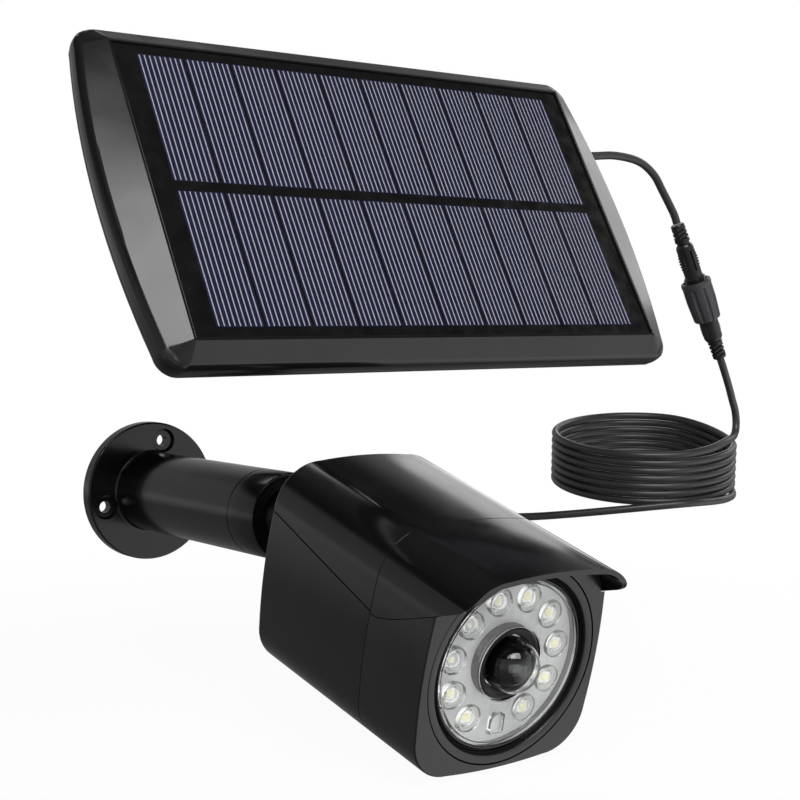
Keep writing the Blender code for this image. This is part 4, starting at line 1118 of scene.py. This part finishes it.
# --------------------------------------------------------------- solar panel
def panel_outline(grow_x, grow_z, bulge, y, corner=0.0, square=0.0):
    """The panel's outline grown outwards: bowed short sides, and corners between an arc and its chord."""
    half_x = WINDOW_HALF[0] + CHAMFER[0] + grow_x
    half_z = WINDOW_HALF[1] + CHAMFER[1] + grow_z
    points = []
    steps = 8
    for sign_x, sign_z, start in ((1, 1, 0), (-1, 1, 90), (-1, -1, 180), (1, -1, 270)):
        arms = [Vector((math.cos(angle), math.sin(angle))) * corner
                for angle in sweep(90 / steps, steps + 1, start)]
        for step, arm in enumerate(arms):
            way = arm.lerp(arms[0].lerp(arms[-1], step / steps), square)
            points.append((sign_x * (half_x - corner) + way.x, y, sign_z * (half_z - corner) + way.y))
        if sign_z != (1 if sign_x < 0 else -1):
            continue
        for step in range(1, 16):
            share = 1 - step / 8
            points.append((sign_x * (half_x + bulge * (1 - share * share)), y,
                           -sign_x * share * (half_z - corner)))
    return points


def make_panel():
    """Frame with its wide bevels, the back, the box and gland behind, and the cells in front."""
    rim = [panel_outline(-CHAMFER[0], -CHAMFER[1], 0.0, 0.0004, 0.0006),
           panel_outline(-CHAMFER[0] + 0.0004, -CHAMFER[1] + 0.0004, 0.0, 0.0, 0.0008, 0.6)]
    sides = [panel_outline(grow_x, grow_z, SIDE_BULGE, *rest) for grow_x, grow_z, *rest in (
        (-0.0007, -0.0006, CHAMFER_DEPTH - 0.0003, 0.0078, 0.55),
        (-0.0003, -0.0002, CHAMFER_DEPTH, 0.0080, 0.5),
        (0.0002, 0.0001, CHAMFER_DEPTH + 0.0003, 0.0080, 0.3),
        (0.0012, 0.0006, CHAMFER_DEPTH + 0.0012, 0.0085, 0.1),
        (0.0019, 0.0009, CHAMFER_DEPTH + 0.0024, 0.0088),
        (0.0021, 0.0010, 0.0085, 0.0090),
        (0.0020, 0.0009, 0.0110, 0.0088),
        (0.0016, 0.0006, PANEL_DEPTH - 0.0003, 0.0085),
        (0.0013, 0.0003, PANEL_DEPTH, 0.0083),
    )]
    shell = loft("frame_shell", rim + sides, sharp=18.0)
    hollows = []
    for inset, depth in ((0.0008, 0.0036), (0.006, 0.03)):
        half_x = WINDOW_HALF[0] - inset
        half_z = WINDOW_HALF[1] - inset
        hollows.append(box("hollow", (-half_x, -0.01, -half_z), (half_x, depth, half_z)))
    cut(shell, *hollows, sharp=18.0)
    normals = shell.modifiers.new("Flat faces", "WEIGHTED_NORMAL")
    normals.keep_sharp = True
    put_on_panel(shell, "panel_plastic", "panel_frame")

    rows = [panel_outline(grow_x, grow_z, SIDE_BULGE, y, corner) for grow_x, grow_z, y, corner in (
        (0.0013, 0.0003, PANEL_DEPTH + SEAM, 0.0085),
        (0.0014, 0.0004, PANEL_DEPTH + 0.0005, 0.0085),
        (0.0012, 0.0002, PANEL_BACK - 0.0011, 0.0084),
        (0.0007, -0.0003, PANEL_BACK - 0.0004, 0.0082),
        (0.0002, -0.0008, PANEL_BACK - 0.0001, 0.0079),
        (-0.0004, -0.0013, PANEL_BACK, 0.0077),
    )]
    back = loft("back_cover", rows, sharp=35.0)
    grooves = []
    margin = 0.004
    half_groove = 0.0012
    for index in range(9):
        z = -0.048 + 0.012 * index
        for low, high in ((-0.112, -0.034), (0.034, 0.112)):
            if high > 0 and BOX_Z[0] - margin < z < BOX_Z[1] + margin:
                high = BOX_X[0] - margin
            grooves.append(box("groove", (low, PANEL_BACK - 0.0007, z - half_groove),
                               (high, 0.02, z + half_groove)))
    cut(back, *grooves, sharp=35.0)
    soften(back, 0.0002, 2, 60.0)
    put_on_panel(back, "panel_back_plastic", "panel_back")
    make_cells()
    make_junction_box()


def strips(name, places, depth_front, depth_back):
    """Thin flat bars, each given by its lowest and highest (x, z), in one piece."""
    builder = bmesh.new()
    for low_x, low_z, high_x, high_z in places:
        corners = ((low_x, low_z), (high_x, low_z), (high_x, high_z), (low_x, high_z))
        add_loft(builder, [[(x, y, z) for x, z in corners] for y in (depth_back, depth_front)])
    return new_piece(name, builder)


def make_cells():
    """Ten columns and two rows of cells on a dark backing, each crossed by silver fingers."""
    edge = 0.0010
    backing = box("cell_backing", (edge - WINDOW_HALF[0], 0.0009, edge - WINDOW_HALF[1]),
                  (WINDOW_HALF[0] - edge, 0.0033, WINDOW_HALF[1] - edge))
    soften(backing, 0.0004, 3)
    put_on_panel(backing, "solar_cells", "solar_laminate", BACKING)

    pitch = 2 * CELL_HALF[0] / CELL_COLUMNS
    gap = 0.0011
    middle = 0.0022
    finger = 0.00050
    cells = []
    fingers = []
    for column in range(CELL_COLUMNS):
        low = -CELL_HALF[0] + pitch * column + gap / 2
        high = low + pitch - gap
        for bottom, top in ((-CELL_HALF[1], -middle), (middle, CELL_HALF[1])):
            cells.append((low, bottom, high, top))
            for index in range(CELL_FINGERS):
                x = low + (high - low) * (index + 0.5) / CELL_FINGERS
                fingers.append((x - finger / 2, bottom + 0.0004, x + finger / 2, top - 0.0004))
    put_on_panel(strips("cell_wafers", cells, 0.00082, 0.00088), "solar_cells")
    put_on_panel(strips("cell_fingers", fingers, 0.00077, 0.00081), "solar_cells", (), SILVER)


def make_junction_box():
    """Junction box with a lid line, and the ribbed gland that the lead leaves by."""
    low = PANEL_BACK + GAP
    high = low + BOX_DEPTH
    lid_line = 0.0045
    body = box("junction", (BOX_X[0], low, BOX_Z[0]), (BOX_X[1], high - lid_line, BOX_Z[1]))
    soften(body, 0.0016, 4)
    put_on_panel(body, "panel_back_plastic", "junction_box")
    lip = 0.0004
    lid = box("junction_lid", (BOX_X[0] - lip, high - lid_line + 0.0002, BOX_Z[0] - lip),
              (BOX_X[1] + 0.0002, high, BOX_Z[1] + lip))
    soften(lid, 0.0014, 4)
    put_on_panel(lid, "panel_back_plastic")

    root = BOX_X[1] + GAP
    ribs = []
    for index in range(4):
        ribs += offsets(0.0044 - 0.0002 * index, root + 0.0050 + 0.0018 * index,
                        (0.0, 0.0), (0.0, 0.0009), (-0.0007, 0.0010), (-0.0007, 0.0016))
    collar = offsets(0.0, root, (0.0023, 0.0), (0.0050, 0.0), (0.0055, 0.0004), (0.0055, 0.0038),
                     (0.0051, 0.0042), (0.0042, 0.0044))
    gland = turned("gland", [*collar, *ribs, (0.0030, root + 0.0127), (0.0023, root + 0.0127)], 48)
    put_on_panel(across(gland, *GLAND_AXIS), "connector_plastic", "cable_gland")


def make_hinge():
    """Clevis, wall arm, bolt, wing knob and power button: the framed shapes with rounded edges."""
    rows = (("panel_clevis", "clevis", 0.0006, 3, "panel", "panel_back_plastic"),
            ("panel_arm", "wall_arm", 0.0006, 3, "bracket", "panel_back_plastic"),
            ("hinge_bolt", "bolt", 0.0003, 2, "bracket", "steel"),
            ("tilt_knob", "wing_knob", 0.0006, 3, "tilt_knob", "panel_back_plastic"),
            ("power_button", "button", 0.0004, 3, "power_button", "rubber"))
    for node, name, width, segments, body, slot in rows:
        put(refined(node, name, width, segments), body, slot, node)


def finish_inner_pieces():
    """Every framed piece that still shows keeps its shape and takes its material."""
    slots = {row["node"]: row["material_slot"] for row in frame["record"]["subparts"]}
    for node, piece in frame["nodes"].items():
        if not piece.hide_render:
            paint(piece, MATERIALS[slots[node]])


# ------------------------------------------------------------ floor and light
def make_floor():
    """A pale round floor just under the object, which fades out to the white around it."""
    clearance = 0.0015
    builder = bmesh.new()
    bmesh.ops.create_circle(builder, cap_ends=True, segments=96, radius=1.6)
    floor = new_piece("floor", builder)
    floor.location = (0.0, -0.1, cad_box[0][2] - clearance)
    material, tree, shader = new_material("pale floor", (0.9, 0.9, 0.9), 0.7)
    reach = add_node(tree, "VectorMath", Vector=own_place(tree))
    reach.operation = "LENGTH"
    fade = ramp(tree, reach.outputs["Value"], 0.95, 1.0, 0.12, 0.42)
    choose(tree, fade, shader, add_node(tree, "BsdfTransparent"), "Material Output")
    floor.data.materials.append(material)
    floor.visible_glossy = False


def make_world():
    """Studio surroundings: soft bands of light by height, seen as plain white behind the object."""
    world = bpy.data.worlds.new("studio")
    bpy.context.scene.world = world
    world.use_nodes = True
    tree = world.node_tree
    place = add_node(tree, "TexCoord").outputs["Generated"]
    height = add_node(tree, "SeparateXYZ", Vector=place).outputs["Z"]
    bands = add_node(tree, "ValToRGB", Fac=ramp(tree, height, 0.0, 1.0, -1.0, 1.0))
    bands.color_ramp.interpolation = "EASE"
    heights = ((0.0, 0.10), (0.40, 0.22), (0.50, 0.60), (0.56, 0.40), (0.73, 0.36), (0.80, 0.03), (1.0, 0.12))
    while len(bands.color_ramp.elements) < len(heights):
        bands.color_ramp.elements.new(0.5)
    for stop, (position, level) in zip(bands.color_ramp.elements, heights):
        stop.position = position
        stop.color = (level, level, level * 1.01, 1.0)
    bounce = add_node(tree, "VectorMath", Vector=place)
    bounce.operation = "DOT_PRODUCT"
    glow_way = (0.62, -0.61, -0.49)
    bounce.inputs[1].default_value = glow_way
    glow = ramp(tree, bounce.outputs["Value"], 0.0, 1.0, 0.70, 0.95)
    light = feed(tree, tree.nodes["Background"],
                 Color=mix(tree, glow, bands.outputs["Color"], (1.15, 1.15, 1.15)))
    white = add_node(tree, "Background", Color=(1.0, 1.0, 1.0))
    choose(tree, add_node(tree, "LightPath").outputs["Is Camera Ray"], light, white, "World Output")


def softbox(name, direction, distance, size, power):
    """A soft rectangular lamp in a given direction from the object."""
    aim = Vector((0.05, -0.13, 0.05))
    lamp = bpy.data.lights.new(name, "AREA")
    lamp.shape = "RECTANGLE"
    lamp.size, lamp.size_y = size
    lamp.energy = power
    holder = add_object(name, lamp)
    way = Vector(direction).normalized()
    holder.location = aim + way * distance
    holder.rotation_euler = way.to_track_quat("Z", "Y").to_euler()
    return holder


def make_lights():
    """A key high in front, a wide one right, a low fill without highlights, and two small ones behind."""
    softbox("key light", (-0.2354, -0.6469, 0.7254), 1.5, (1.0, 0.75), 16.5)
    softbox("right light", (0.8824, 0.0308, 0.4690), 1.5, (0.9, 0.7), 3.4)
    fill = softbox("front fill", (-0.12, -0.95, -0.28), 1.8, (2.0, 1.2), 15.0)
    fill.visible_glossy = False
    softbox("back light", (0.12, 0.60, 0.78), 1.5, (1.0, 0.16), 0.9)
    softbox("rim light", (0.754, 0.611, 0.242), 1.5, (0.29, 0.75), 0.9)


def main():
    """Build every piece, then the stage."""
    make_camera()
    plug, socket, nut = make_connector()
    make_camera_lead()
    make_panel_lead()
    make_bracket()
    make_ball_joint()
    make_rear_body()
    make_front_body()
    make_front_ring()
    make_window()
    make_led_board()
    make_photocell()
    make_eye()
    make_fasteners()
    make_panel()
    make_hinge()
    finish_inner_pieces()
    make_floor()
    make_world()
    make_lights()
    bpy.context.scene.view_settings.view_transform = "Standard"


main()
